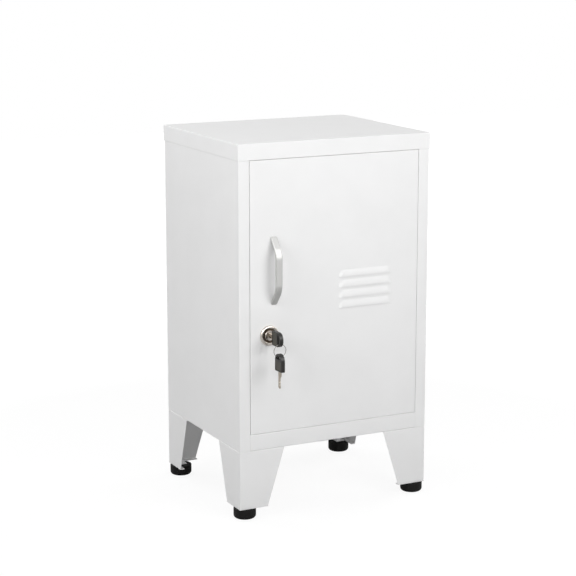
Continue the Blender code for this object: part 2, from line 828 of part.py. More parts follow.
def handle_screw_heights():
    return [HANDLE_Z - HANDLE_SPACING / 2, HANDLE_Z + HANDLE_SPACING / 2]


def make_door_panel():
    pan = door_pan()
    join(pan, louvre_hoods("hoods", 0, SHEET / 2))
    cut(pan, louvre_hoods("hollows", SHEET, SHEET + OVERRUN))
    cut(pan, hole_through_skin(LOCK_X, LOCK_Z, BARREL_RADIUS + CLEAR, ROUND_STEPS))
    for z in handle_screw_heights():
        cut(pan, hole_through_skin(HANDLE_X, z, HANDLE_SCREW_RADIUS + CLEAR, SMALL_STEPS))
    cut(pan, pin_hole(DOOR_BOTTOM), pin_hole(DOOR_TOP - SHEET))
    return finish(pan, "white_powder_coat")


def make_stiffener():
    # Hat section up the back of the skin
    near = SHEET + CLEAR
    far = near + STIFFENER_DEPTH
    crown = STIFFENER_CROWN / 2
    foot = crown + STIFFENER_FLANGE
    bends = [(-foot, near), (-crown, near), (-crown, far), (crown, far), (crown, near), (foot, near)]
    placed_bends = [(x - STIFFENER_OFFSET, depth(distance)) for x, distance in reversed(bends)]
    outline = folded(placed_bends[::-1], -SHEET)
    low = DOOR_BOTTOM + STIFFENER_END_GAP
    channel = prism("door_stiffener", outline, "Z", low, DOOR_TOP - STIFFENER_END_GAP)
    return finish(channel, "white_powder_coat")


def hinge_pin():
    # Head inside the door, shank through the door's edge and on into the bush
    reach = CLEAR + SHEET + DOOR_GAP + SHEET + PIN_REACH
    profile = [
        (0, -PIN_HEAD),
        (PIN_HEAD_RADIUS, -PIN_HEAD),
        (PIN_HEAD_RADIUS, 0),
        (PIN_RADIUS, 0),
        (PIN_RADIUS, reach),
        (0, reach),
    ]
    return turned("pin", profile, SMALL_STEPS)


def hinge_bush():
    # Flange in the gap beside the door, sleeve through the sheet
    outer = PIN_RADIUS + CLEAR + BUSH_WALL
    profile = [
        (PIN_RADIUS + CLEAR, CLEAR - DOOR_GAP),
        (BUSH_FLANGE_RADIUS, CLEAR - DOOR_GAP),
        (BUSH_FLANGE_RADIUS, -CLEAR),
        (outer, -CLEAR),
        (outer, SHEET + BUSH_REACH),
        (PIN_RADIUS + CLEAR, SHEET + BUSH_REACH),
    ]
    return turned("bush", profile, SMALL_STEPS)


def make_hinges():
    pin = finish(hinge_pin(), "zinc_plated_steel")
    bush = finish(hinge_bush(), "white_nylon")
    y = depth(HINGE_DEPTH)
    over = Matrix.Diagonal((1, 1, -1, 1))
    seat = SHEET + CLEAR
    up = Matrix.Translation((HINGE_X, y, DOOR_TOP - seat))
    down = Matrix.Translation((HINGE_X, y, DOOR_BOTTOM + seat)) @ over
    pins = [copied("hinge_pin_top", pin, up), copied("hinge_pin_bottom", pin, down)]
    copied("hinge_bush_top", bush, Matrix.Translation((HINGE_X, y, LID_BOTTOM)))
    copied("hinge_bush_bottom", bush, Matrix.Translation((HINGE_X, y, FLOOR_TOP)) @ over)
    for source in (pin, bush):
        bpy.data.objects.remove(source, do_unlink=True)
    return pins


def buffer_x():
    return -STILE_X + STRIKE_WIDTH / 2


def buffer_heights():
    return [DOOR_BOTTOM + BUFFER_FROM_END, DOOR_TOP - BUFFER_FROM_END]


def make_buffers():
    # Rubber buttons pushed into the strike plate
    low = -STRIKE_DEPTH + CLEAR
    profile = [
        (0, low - BUFFER_STEM),
        (BUFFER_STEM_RADIUS, low - BUFFER_STEM),
        (BUFFER_STEM_RADIUS, low),
        (BUFFER_RADIUS, low),
        (BUFFER_RADIUS, low + BUFFER_THICKNESS),
        (0, low + BUFFER_THICKNESS),
    ]
    for name, z in zip(("door_buffer_bottom", "door_buffer_top"), buffer_heights()):
        finish(turned_forward(name, profile, buffer_x(), z, SMALL_STEPS), "black_rubber")


def handle_outline():
    # Side view, above the handle's middle: in front of the door, and up
    grip = HANDLE_GRIP / 2
    end = HANDLE_LENGTH / 2
    inner_proud = HANDLE_PROUD - HANDLE_THICKNESS
    inner_grip = grip - HANDLE_THICKNESS / 2
    upper_outer = [(CLEAR, end), (HANDLE_PROUD, grip)]
    upper_inner = [(CLEAR, end - HANDLE_FOOT), (inner_proud, inner_grip)]
    outer = upper_outer + [(proud, -z) for proud, z in reversed(upper_outer)]
    inner = upper_inner + [(proud, -z) for proud, z in reversed(upper_inner)]
    corners = [(depth(-proud), HANDLE_Z + z) for proud, z in outer + inner[::-1]]
    bend = HANDLE_BEND + HANDLE_THICKNESS
    return rounded(corners, [0, bend, bend, 0, 0, HANDLE_BEND, HANDLE_BEND, 0], FILLET_STEPS)


def make_handle():
    half = HANDLE_WIDTH / 2
    handle = prism("door_handle", handle_outline(), "X", HANDLE_X - half, HANDLE_X + half)
    modifier = handle.modifiers.new("edges", "BEVEL")
    modifier.width = HANDLE_EDGE
    modifier.segments = HANDLE_EDGE_STEPS
    modifier.limit_method = "ANGLE"
    modifier.angle_limit = SMOOTH_ANGLE
    bpy.context.view_layer.objects.active = handle
    bpy.ops.object.modifier_apply(modifier=modifier.name)
    for z in handle_screw_heights():
        outline = circle((HANDLE_X, z), HANDLE_SCREW_RADIUS + CLEAR, SMALL_STEPS)
        tip = -HANDLE_SCREW_REACH - CLEAR
        cut(handle, prism("hole", outline, "Y", depth(tip), depth(OVERRUN)))
    return finish(handle, "satin_nickel")


def make_handle_screws():
    seat = -SHEET - CLEAR
    profile = [
        (0, seat - HANDLE_SCREW_HEAD),
        (HANDLE_SCREW_HEAD_RADIUS, seat - HANDLE_SCREW_HEAD),
        (HANDLE_SCREW_HEAD_RADIUS, seat),
        (HANDLE_SCREW_RADIUS, seat),
        (HANDLE_SCREW_RADIUS, HANDLE_SCREW_REACH),
        (0, HANDLE_SCREW_REACH),
    ]
    names = ("handle_screw_bottom", "handle_screw_top")
    return [
        finish(turned_forward(name, profile, HANDLE_X, z, SMALL_STEPS), "zinc_plated_steel")
        for name, z in zip(names, handle_screw_heights())
    ]


# Lock and keys


def make_lock_housing():
    bore = PLUG_RADIUS + CLEAR
    floor = BEZEL_PROUD - RECESS_DEPTH
    profile = [
        (bore, -BARREL_END),
        (BARREL_RADIUS, -BARREL_END),
        (BARREL_RADIUS, CLEAR),
        (BEZEL_RADIUS, CLEAR),
        (BEZEL_RADIUS, BEZEL_PROUD - BEZEL_CHAMFER),
        (BEZEL_RADIUS - BEZEL_CHAMFER, BEZEL_PROUD),
        (RECESS_RADIUS, BEZEL_PROUD),
        (RECESS_RADIUS, floor),
        (bore, floor),
    ]
    housing = turned_forward("lock_housing", profile, LOCK_X, LOCK_Z, ROUND_STEPS)
    return finish(housing, "polished_nickel")


def make_lock_nut():
    low = SHEET + CLEAR
    outline = circle((LOCK_X, LOCK_Z), NUT_RADIUS, HEX_STEPS)
    bore = circle((LOCK_X, LOCK_Z), BARREL_RADIUS + CLEAR, ROUND_STEPS)
    nut = prism("lock_nut", outline, "Y", depth(low), depth(low + NUT_THICKNESS))
    ends = (depth(low - OVERRUN), depth(low + NUT_THICKNESS + OVERRUN))
    cut(nut, prism("bore", bore, "Y", *ends))
    return finish(nut, "zinc_plated_steel")


def make_lock_plug():
    floor = BEZEL_PROUD - RECESS_DEPTH + CLEAR
    face = floor + PLUG_HEAD
    profile = [
        (0, -PLUG_END),
        (PLUG_RADIUS, -PLUG_END),
        (PLUG_RADIUS, floor),
        (PLUG_HEAD_RADIUS, floor),
        (PLUG_HEAD_RADIUS, face),
        (0, face),
    ]
    plug = turned_forward("lock_plug", profile, LOCK_X, LOCK_Z, ROUND_STEPS)
    side = SHANK_SIDE / 2
    shank = box(
        "shank",
        (LOCK_X - side, depth(PLUG_END - OVERRUN), LOCK_Z - side),
        (LOCK_X + side, depth(SHANK_END), LOCK_Z + side),
    )
    half_slot = BLADE_THICKNESS / 2 + CLEAR
    half_blade = BLADE_WIDTH / 2 + CLEAR
    keyway = box(
        "keyway",
        (LOCK_X - half_slot, depth(-face - OVERRUN), LOCK_Z - half_blade),
        (
            LOCK_X + half_slot,
            depth(BLADE_LENGTH - BOW_STANDOFF + KEYWAY_SPARE),
            LOCK_Z + half_blade,
        ),
    )
    thread = circle((LOCK_X, LOCK_Z), CAM_SCREW_RADIUS + CLEAR, SMALL_STEPS)
    tap = LOCK_END - CAM_SCREW_HEAD - CAM_SCREW_REACH - CLEAR
    join(plug, shank)
    cut(plug, keyway, prism("tap", thread, "Y", depth(tap), depth(SHANK_END + OVERRUN)))
    return finish(plug, "polished_nickel")


def make_lock_cam():
    # Points down when unlocked
    tip = LOCK_Z - CAM_LENGTH
    half = CAM_TIP_WIDTH / 2
    hub = CAM_HUB_RADIUS
    corners = [
        (LOCK_X - hub, LOCK_Z + hub),
        (LOCK_X - hub, LOCK_Z),
        (LOCK_X - half, tip),
        (LOCK_X + half, tip),
        (LOCK_X + hub, LOCK_Z),
        (LOCK_X + hub, LOCK_Z + hub),
    ]
    tip_round = half / 2
    radii = [hub / 2, 0, tip_round, tip_round, 0, hub / 2]
    low, high = depth(CAM_DEPTH), depth(CAM_DEPTH + CAM_THICKNESS)
    cam = prism("lock_cam", rounded(corners, radii, FILLET_STEPS), "Y", low, high)
    side = SHANK_SIDE / 2 + CLEAR
    square = box(
        "square",
        (LOCK_X - side, low - OVERRUN, LOCK_Z - side),
        (LOCK_X + side, high + OVERRUN, LOCK_Z + side),
    )
    return finish(cut(cam, square), "zinc_plated_steel")


def make_cam_screw():
    seat = CAM_SCREW_HEAD - LOCK_END
    profile = [
        (0, -LOCK_END),
        (CAM_SCREW_HEAD_RADIUS, -LOCK_END),
        (CAM_SCREW_HEAD_RADIUS, seat),
        (CAM_SCREW_RADIUS, seat),
        (CAM_SCREW_RADIUS, seat + CAM_SCREW_REACH),
        (0, seat + CAM_SCREW_REACH),
    ]
    screw = turned_forward("cam_screw", profile, LOCK_X, LOCK_Z, SMALL_STEPS)
    return finish(screw, "zinc_plated_steel")


def in_lock(along, across):
    # Place on the key in the lock, from its bow's square end and its middle line
    return (depth(-BOW_STANDOFF - along), LOCK_Z + across)


def on_ring(along, across):
    # The same place on the spare key, which hangs from the ring
    return (depth(-RING_PROUD) + across, SPARE_BOW_END + along)


def make_blade(name, place):
    half = BLADE_WIDTH / 2
    end = -BLADE_LENGTH
    outline = [(BLADE_TANG, -half), (BLADE_TANG, half), (end + BLADE_TIP, half), (end, half - BLADE_TIP)]
    outline.append((end, BLADE_TIP - half))
    outline.append((end + BLADE_TIP, -half))
    for number in range(BIT_COUNT):
        start = end + BLADE_TIP + BIT_WIDTH + number * BIT_PITCH
        outline += [
            (start, -half),
            (start + BIT_WIDTH / 2, BIT_DEPTH - half),
            (start + BIT_WIDTH, -half),
        ]
    points = [place(along, across) for along, across in outline]
    low = LOCK_X - BLADE_THICKNESS / 2
    return finish(prism(name, points, "X", low, low + BLADE_THICKNESS), "satin_nickel")


def make_bow(name, place):
    half = BOW_WIDTH / 2
    length = BOW_LENGTH
    corners = [(0, -half), (0, half), (length, half), (length, -half)]
    outline = rounded(corners, [BOW_CORNER, BOW_CORNER, half, half], 2 * FILLET_STEPS)
    slot_centre = length - RING_SLOT_FROM_END
    slot_half = RING_SLOT_WIDTH / 2
    slot_end = RING_SLOT_LENGTH / 2
    slot = [
        (slot_centre - slot_half, -slot_end),
        (slot_centre - slot_half, slot_end),
        (slot_centre + slot_half, slot_end),
        (slot_centre + slot_half, -slot_end),
    ]
    slot_outline = rounded(slot, [slot_half] * len(slot), FILLET_STEPS)
    thick = BOW_THICKNESS / 2
    bow = prism(name, [place(*point) for point in outline], "X", LOCK_X - thick, LOCK_X + thick)
    ends = (LOCK_X - thick - OVERRUN, LOCK_X + thick + OVERRUN)
    half_blade = BLADE_WIDTH / 2 + CLEAR
    pocket = [
        (-OVERRUN, -half_blade),
        (-OVERRUN, half_blade),
        (BLADE_TANG + CLEAR, half_blade),
        (BLADE_TANG + CLEAR, -half_blade),
    ]
    tang = BLADE_THICKNESS / 2 + CLEAR
    cut(
        bow,
        prism("slot", [place(*point) for point in slot_outline], "X", *ends),
        prism("pocket", [place(*point) for point in pocket], "X", LOCK_X - tang, LOCK_X + tang),
    )
    return finish(bow, "black_plastic")


def make_key_ring():
    bpy.ops.mesh.primitive_torus_add(
        major_segments=RING_STEPS,
        minor_segments=WIRE_STEPS,
        major_radius=RING_RADIUS,
        minor_radius=RING_WIRE_RADIUS,
    )
    ring = bpy.context.object
    ring.name = "key_ring"
    upright = Matrix.Rotation(math.pi / 2, 4, "X")
    ring.data.transform(Matrix.Translation((LOCK_X, depth(-RING_PROUD), RING_CENTRE)) @ upright)
    return finish(ring, "polished_nickel")


def make_door():
    door = [make_door_panel(), make_stiffener(), make_handle(), make_lock_housing()]
    door += [make_lock_nut(), *make_hinges(), *make_handle_screws()]
    hinge = carry("door_axis", (HINGE_X, depth(HINGE_DEPTH), DOOR_BOTTOM), door)
    plug = [make_lock_plug(), make_lock_cam(), make_cam_screw()]
    lock = carry("lock_axis", (LOCK_X, depth(0), LOCK_Z), plug, hinge)
    key = [make_blade("key_blade", in_lock), make_bow("key_bow", in_lock)]
    pull = carry("key_axis", (LOCK_X, depth(-BOW_STANDOFF), LOCK_Z), key, lock)
    ring_place = (LOCK_X, depth(-RING_PROUD), RING_TOP)
    swing = carry("key_ring_axis", ring_place, [make_key_ring()], pull)
    spare = [make_blade("spare_key_blade", on_ring), make_bow("spare_key_bow", on_ring)]
    carry("spare_key_axis", (LOCK_X, depth(-RING_PROUD), RING_CENTRE), spare, swing)


def main():
    clear_scene()
    for name, values in FINISHES.items():
        make_finish(name, *values)
    make_top_cap()
    make_side_panel("side_panel_left", -1)
    make_side_panel("side_panel_right", 1)
    make_strike_plate()
    make_back_panel()
    make_floor_panel()
    make_legs()
    make_leg_screws()
    make_feet()
    make_shelf()
    make_shelf_brackets()
    make_buffers()
    make_door()


main()
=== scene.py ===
import math
import bmesh
import bpy
from mathutils import Matrix, Vector


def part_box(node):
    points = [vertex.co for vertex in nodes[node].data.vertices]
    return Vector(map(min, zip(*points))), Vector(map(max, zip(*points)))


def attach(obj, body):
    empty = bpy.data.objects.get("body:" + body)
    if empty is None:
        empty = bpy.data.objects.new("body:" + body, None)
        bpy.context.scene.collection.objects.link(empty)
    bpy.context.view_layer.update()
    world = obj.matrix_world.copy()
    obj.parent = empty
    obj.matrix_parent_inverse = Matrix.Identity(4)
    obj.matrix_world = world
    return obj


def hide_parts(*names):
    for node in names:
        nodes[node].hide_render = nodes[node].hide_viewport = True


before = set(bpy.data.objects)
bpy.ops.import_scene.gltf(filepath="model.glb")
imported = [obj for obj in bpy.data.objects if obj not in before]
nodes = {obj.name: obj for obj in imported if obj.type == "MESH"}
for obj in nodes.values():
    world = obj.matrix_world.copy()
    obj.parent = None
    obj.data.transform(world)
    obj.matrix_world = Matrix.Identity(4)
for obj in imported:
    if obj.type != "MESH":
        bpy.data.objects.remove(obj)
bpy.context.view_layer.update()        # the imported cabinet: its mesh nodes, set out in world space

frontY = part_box("side_panel_left")[0].y      # the body's front plane
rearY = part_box("side_panel_left")[1].y
sheet = 0.0008                               # steel thickness
sameSpot = 0.00002                           # two places closer than this are one
right90 = math.radians(90)


# helpers for selecting, folding, cutting and finishing

def deselectAll():
    if bpy.context.mode != "OBJECT":
        bpy.ops.object.mode_set(mode="OBJECT")
    bpy.ops.object.select_all(action="DESELECT")


def only(piece):
    deselectAll()
    piece.select_set(True)
    bpy.context.view_layer.objects.active = piece


def edit(piece):
    only(piece)
    bpy.ops.object.mode_set(mode="EDIT")


def startBlock(name, low, high):
    # a cube at its size and place, left in edit mode
    deselectAll()
    low, high = Vector(low), Vector(high)
    bpy.ops.mesh.primitive_cube_add(size=1, location=(low + high) / 2)
    piece = bpy.context.object
    piece.name = name
    piece.scale = high - low
    bpy.ops.object.transform_apply(location=True, rotation=False, scale=True)
    bpy.ops.object.mode_set(mode="EDIT")
    return piece


def centreOf(node):
    low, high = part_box(node)
    return (low + high) / 2


def place(item):
    # middle of a vertex, edge or face
    if isinstance(item, bmesh.types.BMVert):
        return item.co
    return sum((vert.co for vert in item.verts), Vector()) / len(item.verts)


def near(a, b):
    return abs(a - b) < sameSpot


def pick(piece, kind, test):
    bpy.ops.mesh.select_mode(type=kind)
    bpy.ops.mesh.select_all(action="DESELECT")
    mesh = bmesh.from_edit_mesh(piece.data)
    for item in {"VERT": mesh.verts, "EDGE": mesh.edges, "FACE": mesh.faces}[kind]:
        if test(item):
            item.select_set(True)
    mesh.select_flush_mode()
    bmesh.update_edit_mesh(piece.data)


def dropFaces(piece, test):
    pick(piece, "FACE", test)
    bpy.ops.mesh.delete(type="FACE")


def pull(piece, test, move):
    # folds a new flange out of the open edges that pass the test
    pick(piece, "EDGE", lambda edge: edge.is_boundary and test(edge))
    bpy.ops.mesh.extrude_region_move(TRANSFORM_OT_translate={"value": move})


def divide(piece, point, normal, test=lambda face: True):
    # a new line of edges where a plane crosses the faces that pass the test
    pick(piece, "FACE", test)
    bpy.ops.mesh.bisect(plane_co=point, plane_no=normal)


def faceOutwards():
    bpy.ops.mesh.select_all(action="SELECT")
    bpy.ops.mesh.normals_make_consistent(inside=False)


def roundBends(piece, radius, sharp=50):
    pick(piece, "EDGE", lambda edge: len(edge.link_faces) == 2
         and edge.calc_face_angle(0) > math.radians(sharp))
    bpy.ops.mesh.bevel(offset=radius, segments=3, affect="EDGES", clamp_overlap=True)


def useModifier(piece, kind, **settings):
    only(piece)
    modifier = piece.modifiers.new(kind.title(), kind)
    for name, value in settings.items():
        setattr(modifier, name, value)
    bpy.ops.object.modifier_apply(modifier=modifier.name)


def thicken(piece, wall=sheet, offset=-1):
    useModifier(piece, "SOLIDIFY", thickness=wall, offset=offset, use_even_offset=True)


def breakEdges(piece, width, segments, sharp):
    useModifier(piece, "BEVEL", width=width, segments=segments, limit_method="ANGLE",
                angle_limit=math.radians(sharp))


def cutAway(piece, cutter):
    useModifier(piece, "BOOLEAN", object=cutter, operation="DIFFERENCE", solver="EXACT")
    bpy.data.objects.remove(cutter, do_unlink=True)


def drill(piece, centre, axis, radius, depth, sides=24):
    # a round hole along Y or Z
    deselectAll()
    turn = {"Y": (right90, 0, 0), "Z": (0, 0, 0)}[axis]
    bpy.ops.mesh.primitive_cylinder_add(vertices=sides, radius=radius, depth=depth,
                                        location=centre, rotation=turn)
    bpy.ops.object.transform_apply(location=True, rotation=True, scale=True)
    cutAway(piece, bpy.context.object)


def quarterTurn(steps, first=0):
    # sine and cosine at even steps from 0 to 90 degrees
    turns = [right90 * step / steps for step in range(first, steps + 1)]
    return [(math.sin(turn), math.cos(turn)) for turn in turns]


def turnPiece(name, profile, vertices=64, closed=False):
    # a ring drawn out along (radius, height) steps round Z, capped or closed on itself
    deselectAll()
    radius, height = profile[0]
    bpy.ops.mesh.primitive_circle_add(vertices=vertices, radius=radius, fill_type="NOTHING",
                                      location=(0, 0, height))
    piece = bpy.context.object
    piece.name = name
    bpy.ops.object.transform_apply(location=True, rotation=False, scale=False)
    bpy.ops.object.mode_set(mode="EDIT")
    if not closed:
        bpy.ops.mesh.select_all(action="SELECT")
        bpy.ops.mesh.edge_face_add()
        pick(piece, "EDGE", lambda edge: True)
    for nextRadius, nextHeight in profile[1:] + (profile[:1] if closed else []):
        bpy.ops.mesh.select_mode(type="EDGE")
        step = (0, 0, nextHeight - height)
        bpy.ops.mesh.extrude_edges_move(TRANSFORM_OT_translate={"value": step})
        share = nextRadius / radius
        bpy.ops.transform.resize(value=(share, share, 1), center_override=(0, 0, nextHeight))
        radius, height = nextRadius, nextHeight
    if not closed:
        bpy.ops.mesh.edge_face_add()
    bpy.ops.mesh.select_all(action="SELECT")
    bpy.ops.mesh.remove_doubles(threshold=sameSpot / 4)
    faceOutwards()
    bpy.ops.object.mode_set(mode="OBJECT")
    return piece


def putAt(piece, matrix):
    # moves the mesh itself, so that the object stays at the origin
    deselectAll()
    piece.data.transform(matrix)
    if matrix.determinant() < 0:
        piece.data.flip_normals()
    piece.data.update()
    return piece


def copyOf(piece, name, matrix):
    twin = piece.copy()
    twin.data = piece.data.copy()
    twin.name = name
    bpy.context.scene.collection.objects.link(twin)
    return putAt(twin, matrix)


def nameAt(start, where):
    # leg and front_left make legFrontLeft
    return start + "".join(word.title() for word in where.split("_"))


def complete(piece, body, material, replaced, smooth=35):
    only(piece)
    bpy.ops.object.shade_smooth_by_angle(angle=math.radians(smooth))
    useModifier(piece, "WEIGHTED_NORMAL", keep_sharp=True)
    piece.data.materials.clear()
    piece.data.materials.append(material)
    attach(piece, body)
    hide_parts(replaced)


# materials

def fromHex(code):
    parts = [int(code[at:at + 2], 16) / 255 for at in (1, 3, 5)]
    return [part / 12.92 if part <= 0.04045 else ((part + 0.055) / 1.055) ** 2.4
            for part in parts] + [1]


def addNode(tree, kind, inputs, **settings):
    node = tree.nodes.new(kind)
    for name, value in settings.items():
        setattr(node, name, value)
    for name, value in inputs.items():
        if isinstance(value, bpy.types.NodeSocket):
            tree.links.new(value, node.inputs[name])
        else:
            node.inputs[name].default_value = value
    return node


def newMaterial(name, sockets):
    material = bpy.data.materials.new(name)
    material.use_nodes = True
    tree = material.node_tree
    for socket, value in sockets.items():
        tree.nodes["Principled BSDF"].inputs[socket].default_value = value
    return material, tree, addNode(tree, "ShaderNodeTexCoord", {}).outputs["Object"]


def giveSurface(tree, pattern, look, relief=None):
    # the pattern runs from the first colour to the second and spreads the gloss, and the relief,
    # where there is one, raises the bump
    shader = tree.nodes["Principled BSDF"]
    colour = addNode(tree, "ShaderNodeMix", {
        "Factor": pattern, "A": fromHex(look["colours"][0]), "B": fromHex(look["colours"][1])},
        data_type="RGBA")
    gloss = addNode(tree, "ShaderNodeMapRange", {
        "Value": pattern, "From Min": look["spread"][0], "From Max": look["spread"][1],
        "To Min": look["gloss"][0], "To Max": look["gloss"][1]})
    tree.links.new(colour.outputs["Result"], shader.inputs["Base Color"])
    tree.links.new(gloss.outputs["Result"], shader.inputs["Roughness"])
    if relief is not None:
        bump = addNode(tree, "ShaderNodeBump", {
            "Height": relief, "Strength": look["bump"], "Distance": look["bumpMm"] / 1000})
        tree.links.new(bump.outputs["Normal"], shader.inputs["Normal"])


def makePowderCoat():
    # White polyester powder coat, baked on steel: it flows out into a faint orange peel with a
    # low, even gloss, and its white and its gloss drift by a hair in broad clouds.
    look = {"colours": ("#ececec", "#f1f1f1"), "peelMm": 2.2, "cloudMm": 45,
            "spread": (0.3, 0.7), "gloss": (0.44, 0.52), "bump": 0.25, "bumpMm": 0.04}
    material, tree, spot = newMaterial("whitePowderCoat", {"IOR": 1.5})
    peel = addNode(tree, "ShaderNodeTexNoise", {
        "Vector": spot, "Scale": 1000 / look["peelMm"], "Detail": 2, "Roughness": 0.4})
    cloud = addNode(tree, "ShaderNodeTexNoise", {
        "Vector": spot, "Scale": 1000 / look["cloudMm"], "Detail": 3, "Roughness": 0.5})
    giveSurface(tree, cloud.outputs["Fac"], look, peel.outputs["Fac"])
    return material


def makeBrushedMetal(name, look):
    # Linished or drawn metal: fine scratches run along Z and spread the light across them, so
    # highlights are broad and soft. They are drawn coarser than real ones, so that they show.
    look = look | {"spread": (0.3, 0.7), "bump": 0.1, "bumpMm": 0.01}
    material, tree, spot = newMaterial(name, {"Metallic": 1})
    across, along = 1000 / look["lineMm"], 1000 / look["runMm"]
    stretch = addNode(tree, "ShaderNodeMapping", {
        "Vector": spot, "Scale": (across, across, along)})
    lines = addNode(tree, "ShaderNodeTexNoise", {
        "Vector": stretch.outputs["Vector"], "Scale": 1, "Detail": 4, "Roughness": 0.6})
    giveSurface(tree, lines.outputs["Fac"], look, lines.outputs["Fac"])
    return material


def makePolishedNickel():
    # Bright nickel plate on zinc die casting, a little warm: nearly a mirror, with the soft
    # waviness of a barrel-polished casting.
    look = {"colours": ("#cbc2b9", "#ded8d1"), "waveMm": 3, "spread": (0.3, 0.7),
            "gloss": (0.14, 0.24), "bump": 0.1, "bumpMm": 0.04}
    material, tree, spot = newMaterial("brightNickel", {"Metallic": 1})
    wave = addNode(tree, "ShaderNodeTexNoise", {
        "Vector": spot, "Scale": 1000 / look["waveMm"], "Detail": 2, "Roughness": 0.5})
    giveSurface(tree, wave.outputs["Fac"], look, wave.outputs["Fac"])
    return material


def makeZincPlate():
    # Bright zinc electroplate with blue passivation on screws and pressed steel: cool, with
    # small crystalline patches that turn darker and duller towards their edges.
    look = {"colours": ("#c2c7cc", "#a3a8ad"), "patchMm": 1.6, "spread": (0, 0.8),
            "gloss": (0.25, 0.42)}
    material, tree, spot = newMaterial("bluedZinc", {"Metallic": 1})
    patch = addNode(tree, "ShaderNodeTexVoronoi", {
        "Vector": spot, "Scale": 1000 / look["patchMm"]})
    giveSurface(tree, patch.outputs["Distance"], look)
    return material


def makeMoulded(name, look):
    # Injection-moulded plastic: an even body colour with a spark-eroded grain that breaks up
    # the gloss. The grain is drawn coarser than a real one, so that it shows.
    look = look | {"spread": (0.3, 0.7), "bump": 0.3, "bumpMm": look["grainMm"] / 20}
    material, tree, spot = newMaterial(name, {
        "IOR": look["ior"], "Specular IOR Level": look.get("shine", 0.5)})
    grain = addNode(tree, "ShaderNodeTexNoise", {
        "Vector": spot, "Scale": 1000 / look["grainMm"], "Detail": 3, "Roughness": 0.6})
    giveSurface(tree, grain.outputs["Fac"], look, grain.outputs["Fac"])
    return material


powderCoat = makePowderCoat()
# satin nickel on the linished handle: pale grey, with long soft highlights
satinNickel = makeBrushedMetal("satinNickel", {
    "colours": ("#b6b6b4", "#c9c9c8"), "lineMm": 0.5, "runMm": 25, "gloss": (0.5, 0.6)})
# stamped brass under thin nickel: warmer and brighter, with short marks from the die
keyBrass = makeBrushedMetal("nickelledBrass", {
    "colours": ("#aca295", "#c9c0b4"), "lineMm": 0.4, "runMm": 8, "gloss": (0.3, 0.4)})
# drawn spring wire: grey, with thin broken highlights
springSteel = makeBrushedMetal("springSteel", {
    "colours": ("#7f7c78", "#9b9894"), "lineMm": 0.3, "runMm": 3, "gloss": (0.25, 0.35)})
brightNickel = makePolishedNickel()
# painted shade: the lock's recess gets brown, blotchy nickel with little left to reflect, standing
# in for the key bow's shadow and the dark reflections there
recessShadeNickel = makeBrushedMetal("recessPaintedShade", {
    "colours": ("#4a3f36", "#6f6154"), "lineMm": 0.6, "runMm": 1.2, "gloss": (0.3, 0.45)})
zincPlate = makeZincPlate()
# polished black ABS, a little brown where light catches it
keyPlastic = makeMoulded("keyAbs", {
    "colours": ("#100f0d", "#171512"), "grainMm": 0.6, "ior": 1.53, "gloss": (0.4, 0.5)})
# the same ABS, grained, in a lighter grey: painted light, standing in for the light that the key's
# flat sides catch
litKeyPanel = makeMoulded("keyAbsGrainedLit", {
    "colours": ("#3d3b35", "#4a4841"), "grainMm": 0.5, "ior": 1.53, "gloss": (0.55, 0.7)})
# matt polypropylene: nearly black, and it hardly shines
footPlastic = makeMoulded("footPolypropylene", {
    "colours": ("#0b0b0a", "#121110"), "grainMm": 0.8, "ior": 1.49, "gloss": (0.55, 0.7),
    "shine": 0.2})
# dull black rubber of the door's stops
bufferRubber = makeMoulded("bufferRubber", {
    "colours": ("#161616", "#1f1f1f"), "grainMm": 0.7, "ior": 1.52, "gloss": (0.65, 0.8)})
# natural nylon of the hinge bushes: creamy, with a waxy gloss
bushNylon = makeMoulded("bushNylon", {
    "colours": ("#dedcd3", "#e6e4dc"), "grainMm": 0.8, "ior": 1.53, "gloss": (0.4, 0.5)})
print("materials made")


# lid, sides, floor and shelf

bushHole = {"radius": 0.0038, "depth": 0.012}


def makeTopCap():
    lid = {"bend": 0.001, "ledgeHalf": 0.1456, "ledgeDepth": 0.017, "hem": 0.0007}
    low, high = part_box("top_cap")
    piece = startBlock("topCap", low, high)
    dropFaces(piece, lambda face: face.normal.z < -0.5)
    for side in (-1, 1):
        divide(piece, (side * lid["ledgeHalf"], 0, 0), (1, 0, 0),
               lambda face: face.normal.y < -0.5)
    # the ledge turns in over the door, between the stiles
    pull(piece, lambda edge: near(place(edge).y, low.y) and near(place(edge).z, low.z)
         and abs(place(edge).x) < lid["ledgeHalf"], (0, lid["ledgeDepth"], 0))
    roundBends(piece, lid["bend"])
    thicken(piece)
    edit(piece)
    pick(piece, "EDGE", lambda edge: all(near(vert.co.z, low.z) for vert in edge.verts)
         and (near(abs(place(edge).x), high.x) or near(place(edge).y, high.y)
              or near(place(edge).y, low.y) and abs(place(edge).x) > lid["ledgeHalf"]))
    bpy.ops.mesh.bevel(offset=lid["hem"], segments=3, affect="EDGES")
    drill(piece, centreOf("hinge_bush_top"), "Z", **bushHole)
    complete(piece, "cabinet", powderCoat, "top_cap")


